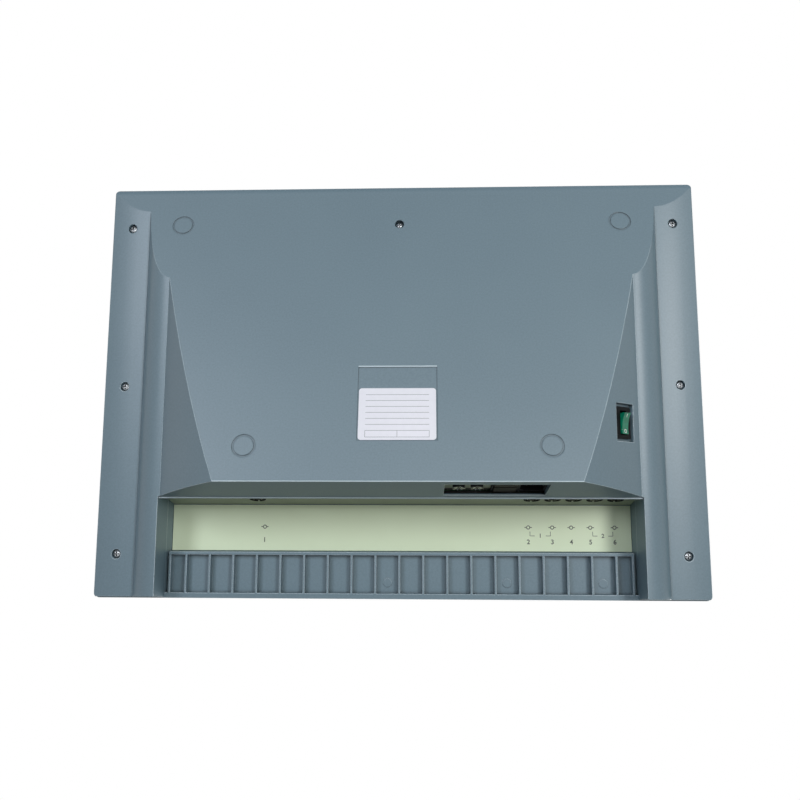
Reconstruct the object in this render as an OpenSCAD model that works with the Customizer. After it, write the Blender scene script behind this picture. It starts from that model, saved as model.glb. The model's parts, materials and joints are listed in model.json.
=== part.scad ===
// Desktop audiometer, standing on its base with the control panel facing up and forward.
// The case parts on a sloping plane. Pieces of the two covers are drawn in that plane's own
// frame (x across, y back along the plane, z off it) and on_parting() puts them in the room.

/* [Case] */
// Width of the case
case_w = 420; // [412:1:440]
// Depth of the case along the parting plane
case_d = 293; // [288:1:300]
// Slope of the parting plane
tilt = 14; // [13:0.25:15]
// Height of the lower cover at its front edge
front_h = 3.6; // [3.4:0.1:5]
// Height of the upper cover above the parting plane
cover_h = 16; // [15:0.25:20]
// Wall of both covers
wall = 3; // [2.6:0.1:3.4]
// Radius of the upper cover's top edges
top_r = 5; // [2:0.5:7]
// Radius of the case's corners in plan
corner_r = 3; // [1:0.5:6]
// Step between the outlines of the two covers
cover_step = 0.7; // [0.3:0.1:1.2]

/* [Wings] */
// Width of a wing
wing_w = 29; // [26:0.5:32]
// Depth of a wing at its inner edge
wing_h = 8; // [7.5:0.25:9]
// Crown radius of a wing's underside
wing_r = 100; // [90:5:150]
// Width of the rounded step inside a wing
hump_w = 20.5; // [20:0.25:22]
// Height of the rounded step
hump_h = 13.4; // [12:0.2:15]
// Draft of the wings' rear ends
rear_draft = 7; // [0:1:10]

/* [Wedge] */
// Depth of the base from its front edge to the rear wall
wedge_d = 220.8; // [216:0.5:226]
// Slope of the wedge's side faces at their top
side_slope = 45.2; // [43:0.2:47]
// Crown radius of the wedge's side faces
side_r = 240; // [220:5:300]
// Height of the rear wall
sill_h = 40; // [38:0.5:43]
// Overhang of the small lip along the rear wall's top
sill_lip = 0.8; // [0.4:0.1:1.5]

/* [Cable bay] */
// Width of the case on each side of the bay
bay_side = 48.2; // [47:0.2:49.5]
// Distance of the ribbed ledge's front wall from the case's front, along the parting plane
ledge_y = 261.7; // [258:0.5:266]
// Height of the ledge above the parting plane
ledge_h = 8; // [7:0.25:10]
// Run of the slope down to the ledge
ledge_run = 4; // [2:0.5:8]
// Thickness of the ledge's front wall
ledge_wall = 2; // [1.5:0.25:3]
// Thickness of the ledge's rear rim
ledge_rim = 3.6; // [2.5:0.2:5]
// Pitch of the ribs under the ledge
rib_pitch = 16.4; // [14:0.2:17]
// Thickness of a rib
rib_t = 1.3; // [0.8:0.1:2]
// Number of ribs
rib_n = 19; // [9:2:19]
// Width of the groove at each end of the ledge
ledge_groove = 2.4; // [1.5:0.1:3]
// Radius of the ejector marks between the ribs
ejector_r = 3; // [2:0.5:4]

/* [Underside] */
// Outer radius of a foot ring
foot_r = 7.7; // [6:0.1:9]
// Width of a foot ring
foot_ring_w = 1.3; // [0.8:0.1:2]
// Depth of a foot ring
foot_ring_t = 0.5; // [0.2:0.1:1]
// Distance of the front foot rings from the case's side
foot_front_inset = 54.2; // [50:0.2:70]
// Distance of the front foot rings from the base's front edge
foot_front_y = 30.5; // [24:0.5:40]
// Distance of the rear foot rings from the case's side
foot_rear_inset = 112.4; // [106:0.2:130]
// Distance of the rear foot rings from the base's front edge
foot_rear_y = 197.3; // [180:0.5:202]
// Width of the rating label
label_w = 50; // [40:1:60]
// Depth of the rating label
label_d = 35.5; // [30:0.5:40]
// Thickness of the rating label
label_t = 0.25; // [0.1:0.05:0.4]
// Depth of the label recess
label_recess_t = 0.5; // [0.4:0.1:0.8]
// Length of the label recess, front to back
label_recess_d = 51; // [45:1:60]
// Distance of the label recess's rear end from the base's front edge
label_recess_y = 193.8; // [185:0.5:200]

/* [Case screws] */
// Distance of the wings' screws from the case's side
screw_inset = 16; // [13:0.5:20]
// Places of the three screws along a wing
screw_ys = [30.3, 146.4, 262.4];
// Shank radius of a case screw
screw_r = 1.5; // [1.25:0.05:1.75]
// Head radius of a case screw
screw_head_r = 2.8; // [2.5:0.1:3]
// Head height of a case screw
screw_head_h = 2.2; // [1.6:0.1:2.6]
// Length of a case screw under its head
screw_l = 10; // [8:0.5:11]
// Radius of a counterbore
counterbore_r = 3.3; // [3.1:0.1:3.6]
// Depth of the screw seats below the parting plane
screw_seat = 4.2; // [3.4:0.1:5]

/* [Power switch] */
// Distance of the switch recess's middle from the top of the side face
switch_inset = 12; // [10.5:0.5:15.5]
// Place of the switch recess along the parting plane
switch_y = 175; // [165:1:185]
// Width of the switch recess up the side face
switch_recess_w = 18.6; // [17:0.2:20]
// Length of the switch recess
switch_recess_l = 25; // [23:0.5:28]
// Depth of the switch recess
switch_recess_t = 3.4; // [2:0.2:4]
// Width of the switch's bezel
bezel_w = 15; // [13.5:0.5:16]
// Length of the switch's bezel
bezel_l = 21; // [20.5:0.5:22]
// Thickness of the switch's bezel
bezel_t = 2; // [1.5:0.25:3]
// Depth of the switch's body behind its bezel
switch_body_t = 16; // [12:1:20]
// Width of the rocker
rocker_w = 6.4; // [6:0.2:9]
// Half length of the rocker
rocker_l = 7; // [6:0.2:7.4]
// Angle that the rocker leans each way
rocker_lean = 9; // [5:1:11]
// Radius of the rocker's pins
rocker_pin_r = 1; // [0.8:0.1:1.2]

/* [Connector window] */
// Distance of the window in the rear wall from the bay's right side
window_inset = 65.3; // [63.5:0.1:71]
// Width of the window
window_w = 66.5; // [64:0.5:70]
// Lower edge of the window
window_z = 6.7; // [6:0.1:8]
// Height of the window
window_h = 26.5; // [26:0.25:28]
// Thickness of the rear wall round the window
window_lip = 1.2; // [1:0.1:1.6]
// How far the connector plate lies inside the rear wall
window_frame_t = 2; // [1:0.25:3]
// Thickness of the connector plate
connector_plate_t = 1.5; // [1:0.1:2]
// Width of the mains inlet's flange
inlet_w = 35.4; // [34.8:0.2:38]
// Width of the inlet's socket
inlet_socket_w = 15.6; // [15:0.1:16]
// Height of the inlet's socket
inlet_socket_h = 23; // [22:0.25:23.5]
// Depth of the inlet's socket
inlet_socket_t = 16; // [14:0.5:18]
// Width of the fuse drawer
fuse_w = 15; // [12:0.5:15.5]
// Pitch of the two data sockets
data_pitch = 11.6; // [11:0.2:13]
// Outer radius of a data socket
data_r = 4; // [3.5:0.1:4.5]

/* [Audio sockets] */
// Radius of a socket's bore, for a 6.35 mm plug
jack_r = 3.25; // [3.2:0.05:3.4]
// Depth of a socket's bore
jack_l = 24; // [20:1:30]
// Radius of a socket's threaded neck
jack_neck_r = 4.5; // [4.2:0.1:4.8]
// Outer radius of a socket's nut
jack_nut_r = 5.6; // [5.3:0.1:6.2]
// Thickness of a socket's nut
jack_nut_t = 1.8; // [1.5:0.1:2.2]
// Height of the sockets above the table
jack_z = 49.5; // [47:0.5:52]
// Pitch of the five output sockets
jack_pitch = 14.1; // [13.6:0.1:14.6]
// Distance of the last output socket from the bay's right side
jack_inset = 15.3; // [9:0.1:20]
// Distance of the patient response socket from the bay's left side
response_inset = 64.8; // [52:0.2:100]
// Thickness of the socket panel
jack_panel_t = 2; // [1.5:0.25:2.5]
// Thickness of the label plate over the sockets
label_plate_t = 1; // [0.5:0.1:1.5]

/* [Control panel] */
// Thickness of the panel overlay
overlay_t = 0.6; // [0.3:0.1:0.8]
// Margin of the overlay from the case's sides
overlay_margin = 17; // [14:0.5:22]
// Front edge of the overlay along the parting plane
overlay_y = 12; // [10:0.5:14]
// Depth of the overlay
overlay_d = 238; // [236:1:242]
// Width of the display's lens
lens_w = 156; // [150:1:170]
// Depth of the display's lens
lens_d = 70; // [66:1:72]
// Thickness of the display's lens
lens_t = 1.5; // [1.2:0.1:1.8]
// Place of the display's centre along the parting plane
lens_y = 186; // [185:0.5:188]
// Ledge that the lens rests on
lens_ledge = 4; // [3:0.5:6]
// Width of a key
key_w = 24; // [18:0.5:27]
// Depth of a key
key_d = 12; // [9:0.5:14]
// Height of a key above the panel
key_h = 2.5; // [2:0.25:4]
// Travel of a key
key_travel = 1.5; // [0.8:0.1:2]
// Pitch of the keys across
key_pitch_x = 33; // [32:0.5:36]
// Pitch of the two rows of keys
key_pitch_y = 26; // [20:1:30]
// Place of the rear row of keys along the parting plane
key_y = 124; // [118:1:128]
// Width of a tone bar
bar_w = 60; // [50:1:66]
// Depth of a tone bar
bar_d = 17; // [14:0.5:20]
// Height of a tone bar above the panel
bar_h = 5; // [3:0.5:7]
// Travel of a tone bar
bar_travel = 2; // [1:0.1:2.4]
// Place of the tone bars along the parting plane
bar_y = 36; // [33:1:42]
// Distance of the dials' and tone bars' middle from the case's side
dial_inset = 70; // [64:1:74]
// Place of the dials along the parting plane
dial_y = 100; // [92:1:108]
// Radius of a dial's skirt
dial_r = 23; // [18:0.5:26]
// Height of a dial
dial_h = 15; // [12:0.5:20]
// Radius of a dial's shaft
shaft_r = 3; // [2.5:0.25:3.2]

/* [Boards] */
// Thickness of the circuit boards
board_t = 1.6; // [1.2:0.1:2]
// Height of the control board above the parting plane
control_board_z = 0.6; // [0.4:0.1:1]
// Margin of the control board from the case's sides
control_board_margin = 32; // [30:0.5:34]
// Depth of the control board
control_board_d = 136; // [134:1:140]
// Margin of the base's two boards from the case's sides
base_board_margin = 99.4; // [96:0.2:106]
// Depth of the main board
main_board_d = 96; // [80:1:100]
// Width of the power board
power_board_w = 84; // [80:1:88]
// Depth of the power board
power_board_d = 70; // [66:1:74]
// Height of the posts under the boards
post_h = 7; // [5:0.5:8]
// Room behind the base's boards for the sockets' plugs and wires
board_back = 28; // [26:0.5:34]
// Gap between the two boards in the base
board_gap = 13; // [10:0.5:16]

/* [Clearances] */
// Gap round a piece that slides in a hole
slide_gap = 0.3; // [0.2:0.05:0.5]
// Radial gap of a turning shaft
run_gap = 0.05; // [0.02:0.01:0.1]
// Gap round a fixed piece in its seat
seat_gap = 0.3; // [0.1:0.05:0.5]

/* [Hidden] */
$fn = 48;
far = 600;
cut = 1;

wing_x = case_w / 2 - wing_w;
bay_w = case_w - 2 * bay_side;
screw_x = case_w / 2 - screw_inset;
dial_x = case_w / 2 - dial_inset;
control_board_w = case_w - 2 * control_board_margin;
lower_w = case_w - 2 * cover_step;
lower_d = case_d - 2 * cover_step;
hump_x = wing_x - hump_w;
switch_x = hump_x - switch_inset;
hump_r = (pow(hump_w, 2) + pow(hump_h, 2)) / (2 * hump_h);
crest = wing_h + hump_h;
side_x = hump_x - side_r * sin(side_slope);
side_z = side_r * cos(side_slope) - crest;
switch_slope = asin((switch_x - side_x) / side_r);
ceiling = cover_h - wall;

// Depth of the rounded step below the parting plane, x from the centre line
function hump_depth(x) = sqrt(pow(hump_r, 2) - pow(x - hump_x, 2)) - hump_r + crest;
// Depth of the wedge's side face below the parting plane
function side_depth(x) = sqrt(pow(side_r, 2) - pow(x - side_x, 2)) - side_z;
// Height in the room of a point of the parting plane's frame
function room_z(y, z) = origin_z + y * sin(tilt) + z * cos(tilt);
// The parting plane's y of a point at height z off it, for a place in the room
function plane_y(room, z) = (room - origin_y + z * sin(tilt)) / cos(tilt);

bay_crest = hump_depth(bay_w / 2);
front_reach = (top_r - cover_step) * cos(tilt) - (cover_h - top_r + front_h) * sin(tilt) - top_r;
rear_reach = (lower_d - bay_crest * tan(rear_draft)) * cos(tilt) + (bay_crest - front_h) * sin(tilt);
base_y = -(front_reach + rear_reach) / 2;
origin_y = base_y - front_h * sin(tilt);
origin_z = front_h * cos(tilt);
rear_y = base_y + wedge_d;

wing_places = [for (side = [-1, 1], y = screw_ys) [side * screw_x, y]];
screw_places = concat(wing_places, [[0, screw_ys[0]]]);
foot_places = [
    for (side = [-1, 1]) [side * (case_w / 2 - foot_front_inset), foot_front_y],
    for (side = [-1, 1]) [side * (case_w / 2 - foot_rear_inset), foot_rear_y]
];
boss_r = counterbore_r + 1.4;
cover_boss_r = screw_r + 2.4;

window_frame_w = 4;
sill_t = 1.2;
window_x = bay_w / 2 - window_inset - window_w;
connector_y = rear_y - wall - window_frame_t;
window_mid_z = window_z + window_h / 2;
inlet_margin = 1.2;
inlet_h = window_h - 2 * seat_gap;
inlet_x = window_x + window_w - inlet_w / 2 - seat_gap;
socket_x = inlet_x + (inlet_w - inlet_socket_w) / 2 - inlet_margin;
fuse_x = inlet_x - (inlet_w - fuse_w) / 2 + inlet_margin;
inlet_flange_t = 2;
inlet_flange_w = 1;
inlet_back = inlet_socket_t + 3 - inlet_flange_t;
data_x = window_x + 9.5;
data_xs = [data_x, data_x + data_pitch];
pin_w = 4;
pin_h = 2;
pin_l = 13;
pin_spread = 7;
pin_shift = 2.5;

ledge_front = ledge_y - cover_step;
ledge_back = case_d - cover_step - ledge_rim;
ledge_floor = ledge_h - wall;
// Places of the ejector marks, in rib pitches from the centre line
ejector_cells = [-0.5, 4.5, 8.5];

pivot_z = bezel_t - 1.6;
rocker_rise = 4.2;
rocker_room = rocker_l * cos(rocker_lean) + (rocker_rise + 0.2) * sin(rocker_lean) + slide_gap;

panel_y = rear_y - wall;
panel_bottom = sill_h - 5;
frame_top = panel_bottom - seat_gap;
connector_top = sill_h - 3;
panel_top = room_z(plane_y(panel_y, ceiling), ceiling) - jack_panel_t * tan(tilt) - seat_gap;
jack_xs = concat(
    [response_inset - bay_w / 2],
    [for (i = [0:4]) bay_w / 2 - jack_inset - i * jack_pitch]
);
jack_body_w = jack_pitch - 1;
panel_rib_x = 14;

overlay_w = case_w - 2 * overlay_margin;
board_top = control_board_z + board_t;
switch_tact_h = 3.5;
plunger_h = 1.5;
plunger_r = 1.7;
plunger_top = board_top + switch_tact_h + plunger_h;
flange_t = 1;
flange_w = 1.5;
press_gap = 0.2;
key_places = [for (row = [0, 1], i = [-2:2]) [i * key_pitch_x, key_y - row * key_pitch_y]];
bar_places = [[-dial_x, bar_y], [dial_x, bar_y]];
lamp_places = [for (i = [-1:1]) [i * 14, key_y + key_d / 2 + 14]];
lamp_r = 1.5;
speaker_place = [dial_x + 6, lens_y];
speaker_r = 19;
bush_r = shaft_r + 1.2;
bush_top = cover_h + 1;
control_board_y = overlay_y + 3;
board_edge = 5;
control_post_x = control_board_w / 2 - board_edge + 1;
board_post_places = [for (x = [-1, 1], y = [-1, 1]) [x, y]];
control_post_places = [
    for (side = [-1, 1]) [side * control_post_x, control_board_y + board_edge],
    for (side = [-1, 1]) [side * control_post_x, control_board_y + control_board_d - board_edge],
    for (side = [-1, 1]) [side * (dial_x - dial_r - 20), dial_y - dial_r]
];
board_screw_r = 1.25;
board_screw_head_r = 2.5;
board_screw_head_h = 1.8;
board_post_r = 3.2;
display_board_w = lens_w + 14;
display_board_d = lens_d + 4;
display_gap = 3.5;
display_places = [for (x = [-1, 1], y = [-1, 1])
    [x * (display_board_w / 2 - 4), lens_y + y * (display_board_d / 2 - 4)]];
boards_w = case_w - 2 * base_board_margin;
main_board_w = boards_w - power_board_w - board_gap;
board_rear = rear_y - wall - board_back;
power_board_place = [(boards_w - power_board_w) / 2, board_rear - power_board_d / 2];
main_board_place = [(main_board_w - boards_w) / 2, board_rear - main_board_d / 2];
base_board_top = wall + post_h + board_t;

case_blue = "#6f8590";
dark_blue = "#566871";
near_black = "#17191b";
plate_green = "#c3cdb4";
board_green = "#2f6b48";
bright_metal = "#c9cccf";

// Frames

module on_parting() {
    translate([0, origin_y, origin_z]) rotate([tilt, 0, 0]) children();
}

// The power switch's frame: z out of the side face, y back along the case
module on_switch() {
    on_parting()
        translate([switch_x, switch_y, -side_depth(switch_x)])
            rotate([0, 180 - switch_slope, 0])
                translate([0, 0, -switch_recess_t])
                    children();
}

// A frame whose z runs out of the rear wall, x across and y up, at a height in the room
module on_rear(x, y, z) {
    translate([x, y, z]) rotate([90, 0, 180]) children();
}

module both_sides() {
    children();
    mirror([1, 0, 0]) children();
}

// General shapes

module centred_box(w, d, h) {
    translate([-w / 2, -d / 2, 0]) cube([w, d, h]);
}

// A rectangle with round corners, centred
module rounded_rect(w, d, r) {
    square([w - 2 * r, d], center = true);
    square([w, d - 2 * r], center = true);
    for (x = [-1, 1], y = [-1, 1]) {
        translate([x * (w / 2 - r), y * (d / 2 - r)]) circle(r = r);
    }
}

module rounded_box(w, d, h, r) {
    linear_extrude(h) rounded_rect(w, d, r);
}

// A ring that stands on z = 0
module tube(r, bore, h) {
    difference() {
        cylinder(r = r, h = h);
        translate([0, 0, -cut]) cylinder(r = bore, h = h + 2 * cut);
    }
}

// A cross-headed screw, head up, its seat at z = 0
module screw(shank_r, length, head_r, head_h) {
    edge_h = head_h * 0.45;
    dome_r = (pow(head_r, 2) + pow(head_h - edge_h, 2)) / (2 * (head_h - edge_h));
    difference() {
        union() {
            translate([0, 0, -length]) cylinder(r = shank_r, h = length);
            intersection() {
                cylinder(r = head_r, h = head_h);
                translate([0, 0, head_h - dome_r]) sphere(r = dome_r);
            }
        }
        for (turn = [0, 90]) {
            translate([0, 0, head_h * 0.4]) rotate([0, 0, turn])
                centred_box(head_r * 1.2, head_r * 0.28, head_h);
        }
    }
}

// Lower cover

// One half of the case's cross-section, its wall taken in by t and its top raised by over
module half_section(t, over) {
    intersection() {
        translate([wing_x, wing_r - wing_h]) circle(r = wing_r - t, $fn = 360);
        translate([hump_x, -wing_h]) square([lower_w / 2 - t - hump_x, wing_h + over]);
    }
    intersection() {
        translate([hump_x, hump_r - crest]) circle(r = hump_r - t, $fn = 120);
        translate([hump_x, -crest]) square([hump_w, crest + over]);
    }
    intersection() {
        translate([side_x, side_z]) circle(r = side_r - t, $fn = 360);
        translate([0, -far]) square([hump_x, far + over]);
    }
}

// The case below the parting plane, cut off at the base, its wall taken in by t
module case_body(t, over) {
    length = lower_d - 2 * t;
    intersection() {
        on_parting() difference() {
            translate([0, lower_d - t, 0]) rotate([90, 0, 0]) linear_extrude(length) {
                half_section(t, over);
                mirror([1, 0]) half_section(t, over);
            }
            translate([0, lower_d - t, 0]) rotate([-rear_draft, 0, 0])
                translate([-far / 2, 0, -far / 2]) cube(far);
        }
        translate([-far / 2, -far / 2, t]) cube(far);
    }
}

// The space behind the rear wall and between the wings, grown by t
module bay_space(t) {
    translate([-bay_w / 2 - t, rear_y - t, -cut]) cube([bay_w + 2 * t, far, far]);
}

// A boss from the base or a wing up to the parting plane, kept inside the case
module case_posts() {
    intersection() {
        case_body(wall / 2, 0);
        on_parting() {
            for (place = screw_places) {
                translate([place[0], place[1], -far / 2]) cylinder(r = boss_r, h = far / 2);
            }
        }
    }
}

module board_posts(place, w, d) {
    for (corner = board_post_places) {
        translate([
            place[0] + corner[0] * (w / 2 - board_edge),
            place[1] + corner[1] * (d / 2 - board_edge),
            wall / 2
        ])
            cylinder(r = board_post_r, h = wall / 2 + post_h);
    }
}

module board_post_holes(place, w, d) {
    for (corner = board_post_places) {
        translate([
            place[0] + corner[0] * (w / 2 - board_edge),
            place[1] + corner[1] * (d / 2 - board_edge),
            wall
        ])
            cylinder(r = board_screw_r, h = far);
    }
}

module switch_pocket() {
    rim = 2.2;
    intersection() {
        case_body(wall / 2, 0);
        on_switch() translate([0, 0, -rim])
            centred_box(switch_recess_w + 2 * rim, switch_recess_l + 2 * rim, far);
    }
}

module sill() {
    translate([-bay_w / 2, rear_y - wall, sill_h - sill_t])
        cube([bay_w, wall + sill_lip, sill_t]);
}

// The window, with the rear wall thinned above it
module window_cut() {
    translate([window_x, connector_y - cut, window_z]) {
        cube([window_w, far, window_h]);
        cube([window_w, rear_y - window_lip - connector_y + cut, sill_h - sill_t - window_z]);
    }
}

// A raised frame inside the rear wall that the connector plate lies against
module window_frame() {
    translate([window_x - window_frame_w, connector_y, wall / 2])
        cube([
            window_w + 2 * window_frame_w,
            window_frame_t + wall / 2,
            frame_top - wall / 2
        ]);
}

// Ribs that hold the socket panel against the rear wall
module panel_ribs() {
    rib_d = 10;
    rib_top = sill_h + 4;
    both_sides() {
        translate([panel_rib_x, panel_y - jack_panel_t - seat_gap - rib_d, wall / 2])
            cube([rib_t * 2, rib_d, rib_top]);
    }
}

module foot_rings() {
    for (place = foot_places) {
        translate([place[0], base_y + place[1], -cut])
            tube(foot_r, foot_r - foot_ring_w, foot_ring_t + cut);
    }
}

module label_recess() {
    translate([0, base_y + label_recess_y - label_recess_d / 2, -cut])
        centred_box(label_w + 1.6, label_recess_d, label_recess_t + cut);
}

module lower_cover() {
    color(case_blue) difference() {
        union() {
            difference() {
                intersection() {
                    case_body(0, 0);
                    on_parting() translate([0, lower_d / 2, -far])
                        rounded_box(lower_w, lower_d, far, corner_r);
                }
                difference() {
                    case_body(wall, cut);
                    bay_space(wall);
                }
                bay_space(0);
                translate([-bay_w / 2, rear_y - wall - cut, sill_h]) cube([bay_w, far, far]);
            }
            case_posts();
            switch_pocket();
            sill();
            window_frame();
            panel_ribs();
            board_posts(main_board_place, main_board_w, main_board_d);
            board_posts(power_board_place, power_board_w, power_board_d);
        }
        on_parting() {
            for (place = screw_places) {
                translate([place[0], place[1], -far - screw_seat])
                    cylinder(r = counterbore_r, h = far);
                translate([place[0], place[1], -far / 2])
                    cylinder(r = screw_r + seat_gap, h = far);
            }
        }
        on_switch() {
            centred_box(switch_recess_w, switch_recess_l, far);
            translate([0, 0, -far / 2])
                centred_box(bezel_w - 2 * bezel_t, bezel_l - 2 * bezel_t, far);
        }
        window_cut();
        foot_rings();
        label_recess();
        board_post_holes(main_board_place, main_board_w, main_board_d);
        board_post_holes(power_board_place, power_board_w, power_board_d);
    }
}

// Upper cover

// Outline of the upper cover seen from its side, y back and z up
module cover_profile() {
    ledge_r = 3;
    translate([-cover_step, 0]) {
        square([ledge_y, cover_h - top_r]);
        translate([top_r, 0]) square([ledge_y - top_r, cover_h]);
        translate([top_r, cover_h - top_r]) circle(r = top_r);
        square([case_d, ledge_h - ledge_r]);
        square([case_d - ledge_r, ledge_h]);
        translate([case_d - ledge_r, ledge_h - ledge_r]) circle(r = ledge_r);
        polygon([[ledge_y, 0], [ledge_y + ledge_run, ledge_h], [ledge_y, cover_h]]);
    }
}

// Outline of the upper cover seen from the front
module cover_section() {
    translate([-case_w / 2, 0]) square([case_w, cover_h - top_r]);
    translate([top_r - case_w / 2, 0]) square([case_w - 2 * top_r, cover_h]);
    for (side = [-1, 1]) {
        translate([side * (case_w / 2 - top_r), cover_h - top_r]) circle(r = top_r);
    }
}

module cover_block() {
    intersection() {
        rotate([90, 0, 90]) translate([0, 0, -case_w / 2]) linear_extrude(case_w) cover_profile();
        translate([0, case_d - cover_step, 0]) rotate([90, 0, 0])
            linear_extrude(case_d) cover_section();
        translate([0, case_d / 2 - cover_step, 0]) rounded_box(case_w, case_d, cover_h, corner_r);
    }
}

// The inside of the upper cover, from the parting plane up to its ceiling
module cover_hollow() {
    inner_w = case_w - 2 * wall;
    difference() {
        translate([-inner_w / 2, wall - cover_step, -cut])
            cube([inner_w, ledge_front - wall + cover_step, ceiling + cut]);
        both_sides() {
            translate([bay_w / 2, plane_y(panel_y, 0), -2 * cut])
                cube([wall, far, far]);
        }
    }
    both_sides() {
        translate([bay_w / 2 + wall, ledge_front - cut, -cut])
            cube([
                inner_w / 2 - bay_w / 2 - wall,
                case_d - cover_step - wall - ledge_front + cut,
                ledge_floor + cut
            ]);
    }
}

// The ledge's cells, open downward, with ribs between them
module ledge_cells() {
    first = ledge_front + ledge_wall;
    last = bay_w / 2 - ledge_groove - rib_t;
    both_sides() {
        translate([bay_w / 2 - ledge_groove, ledge_front - cut, -cut])
            cube([ledge_groove, ledge_back - ledge_front + cut, ledge_floor + cut]);
    }
    difference() {
        translate([-last, first, -cut]) cube([2 * last, ledge_back - first, ledge_floor + cut]);
        for (i = [0:rib_n - 1]) {
            translate([(i - (rib_n - 1) / 2) * rib_pitch - rib_t / 2, 0, -2 * cut])
                cube([rib_t, far, far]);
        }
        for (cell = ejector_cells) {
            translate([cell * rib_pitch, ledge_back - 7, ledge_floor - 0.3])
                cylinder(r = ejector_r, h = far);
        }
    }
}

module cover_bosses() {
    for (place = screw_places) {
        top = place[1] + cover_boss_r > ledge_front ? ledge_floor + cut : ceiling + cut;
        translate([place[0], place[1], 0]) cylinder(r = cover_boss_r, h = top);
    }
    for (place = control_post_places) {
        translate([place[0], place[1], board_top])
            cylinder(r = board_post_r, h = ceiling + cut - board_top);
    }
    for (place = display_places) {
        translate([place[0], place[1], ceiling - display_gap])
            cylinder(r = board_post_r, h = display_gap + cut);
    }
}

module cover_boss_holes() {
    for (place = screw_places) {
        translate([place[0], place[1], -cut]) cylinder(r = screw_r, h = screw_l - screw_seat + cut);
    }
    for (place = control_post_places) {
        translate([place[0], place[1], 0]) cylinder(r = board_screw_r, h = ceiling - 2);
    }
    for (place = display_places) {
        translate([place[0], place[1], 0]) cylinder(r = board_screw_r, h = ceiling);
    }
}

// Holes through the panel, for the overlay as for the cover
module panel_holes(gap) {
    for (place = key_places) {
        translate([place[0], place[1], 0])
            rounded_box(key_w + 2 * gap, key_d + 2 * gap, far, 1.5 + gap);
    }
    for (place = bar_places) {
        translate([place[0], place[1], 0])
            rounded_box(bar_w + 2 * gap, bar_d + 2 * gap, far, 3 + gap);
    }
    for (place = lamp_places) {
        translate([place[0], place[1], 0]) cylinder(r = lamp_r + gap, h = far);
    }
    for (side = [-1, 1]) {
        translate([side * dial_x, dial_y, 0]) cylinder(r = bush_r + gap, h = far);
    }
    for (i = [-3:3]) {
        slot_l = 2 * sqrt(pow(speaker_r - 4, 2) - pow(4 * i, 2));
        translate([speaker_place[0], speaker_place[1] + 4 * i, 0])
            rounded_box(slot_l + 1.8, 1.8, far, 0.8);
    }
}

module upper_cover() {
    color(case_blue) on_parting() difference() {
        union() {
            difference() {
                cover_block();
                cover_hollow();
                ledge_cells();
            }
            cover_bosses();
        }
        cover_boss_holes();
        panel_holes(slide_gap);
        translate([0, overlay_y + overlay_d / 2, cover_h - overlay_t])
            rounded_box(overlay_w + 2 * seat_gap, overlay_d + 2 * seat_gap, far, 6);
        translate([0, lens_y, cover_h - lens_t])
            rounded_box(lens_w + 2 * seat_gap, lens_d + 2 * seat_gap, far, 3);
        translate([0, lens_y, 0])
            centred_box(lens_w - 2 * lens_ledge, lens_d - 2 * lens_ledge, far);
    }
}

module panel_overlay() {
    color(dark_blue) on_parting() difference() {
        translate([0, overlay_y + overlay_d / 2, cover_h - overlay_t])
            rounded_box(overlay_w, overlay_d, overlay_t, 6 - seat_gap);
        panel_holes(slide_gap);
        translate([0, lens_y, 0]) rounded_box(lens_w + 2 * seat_gap, lens_d + 2 * seat_gap, far, 3);
    }
}

// Rear of the case

module socket_panel() {
    tongue_w = 2 * (hump_x - 3 * wall);
    color(dark_blue) difference() {
        union() {
            translate([seat_gap - bay_w / 2, panel_y - jack_panel_t, sill_h + 1])
                cube([bay_w - 2 * seat_gap, jack_panel_t, panel_top - sill_h - 1]);
            translate([-tongue_w / 2, panel_y - jack_panel_t, panel_bottom])
                cube([tongue_w, jack_panel_t, panel_top - panel_bottom]);
        }
        for (x = jack_xs) {
            on_rear(x, panel_y - jack_panel_t - cut, jack_z)
                cylinder(r = jack_neck_r, h = far);
        }
        translate([window_x - window_frame_w - seat_gap, panel_y - far / 2, panel_bottom - cut])
            cube([
                window_w + 2 * (window_frame_w + seat_gap),
                far,
                sill_h + 1 - panel_bottom + cut
            ]);
    }
}

module socket_label_plate() {
    front = plane_y(panel_y, ceiling) + seat_gap;
    color(plate_green) on_parting() translate([seat_gap - bay_w / 2, front, ceiling - label_plate_t])
        cube([bay_w - 2 * seat_gap, ledge_front - seat_gap - front, label_plate_t]);
}

module connector_plate() {
    color(plate_green) difference() {
        translate([window_x - window_frame_w, connector_y - connector_plate_t, wall])
            cube([
                window_w + 2 * window_frame_w,
                connector_plate_t,
                connector_top - wall
            ]);
        for (x = data_xs) {
            on_rear(x, connector_y - connector_plate_t - cut, window_mid_z)
                cylinder(r = data_r - 1, h = far);
        }
        on_rear(inlet_x, connector_y - connector_plate_t - cut, window_mid_z) inlet_body(far);
    }
}

module rating_label() {
    color("white") translate([
        0,
        base_y + label_recess_y - label_d / 2 - 0.4,
        label_recess_t - label_t
    ])
        rounded_box(label_w, label_d, label_t, 2);
}

module case_screws() {
    color(bright_metal) on_parting() {
        for (place = screw_places) {
            translate([place[0], place[1], -screw_seat]) rotate([180, 0, 0])
                screw(screw_r, screw_l, screw_head_r, screw_head_h);
        }
    }
}

// Power switch

module power_switch_body() {
    color(near_black) on_switch() difference() {
        union() {
            rounded_box(bezel_w, bezel_l, bezel_t, 1);
            translate([0, 0, -switch_body_t])
                centred_box(
                    bezel_w - 2 * bezel_t - 2 * seat_gap,
                    bezel_l - 2 * bezel_t - 2 * seat_gap,
                    switch_body_t
                );
        }
        translate([0, 0, pivot_z - 4.6])
            centred_box(rocker_w + 2 * slide_gap, 2 * rocker_room, far);
        translate([0, 0, pivot_z]) rotate([0, 90, 0])
            cylinder(r = rocker_pin_r + run_gap, h = rocker_w + 3, center = true);
    }
}

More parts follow.
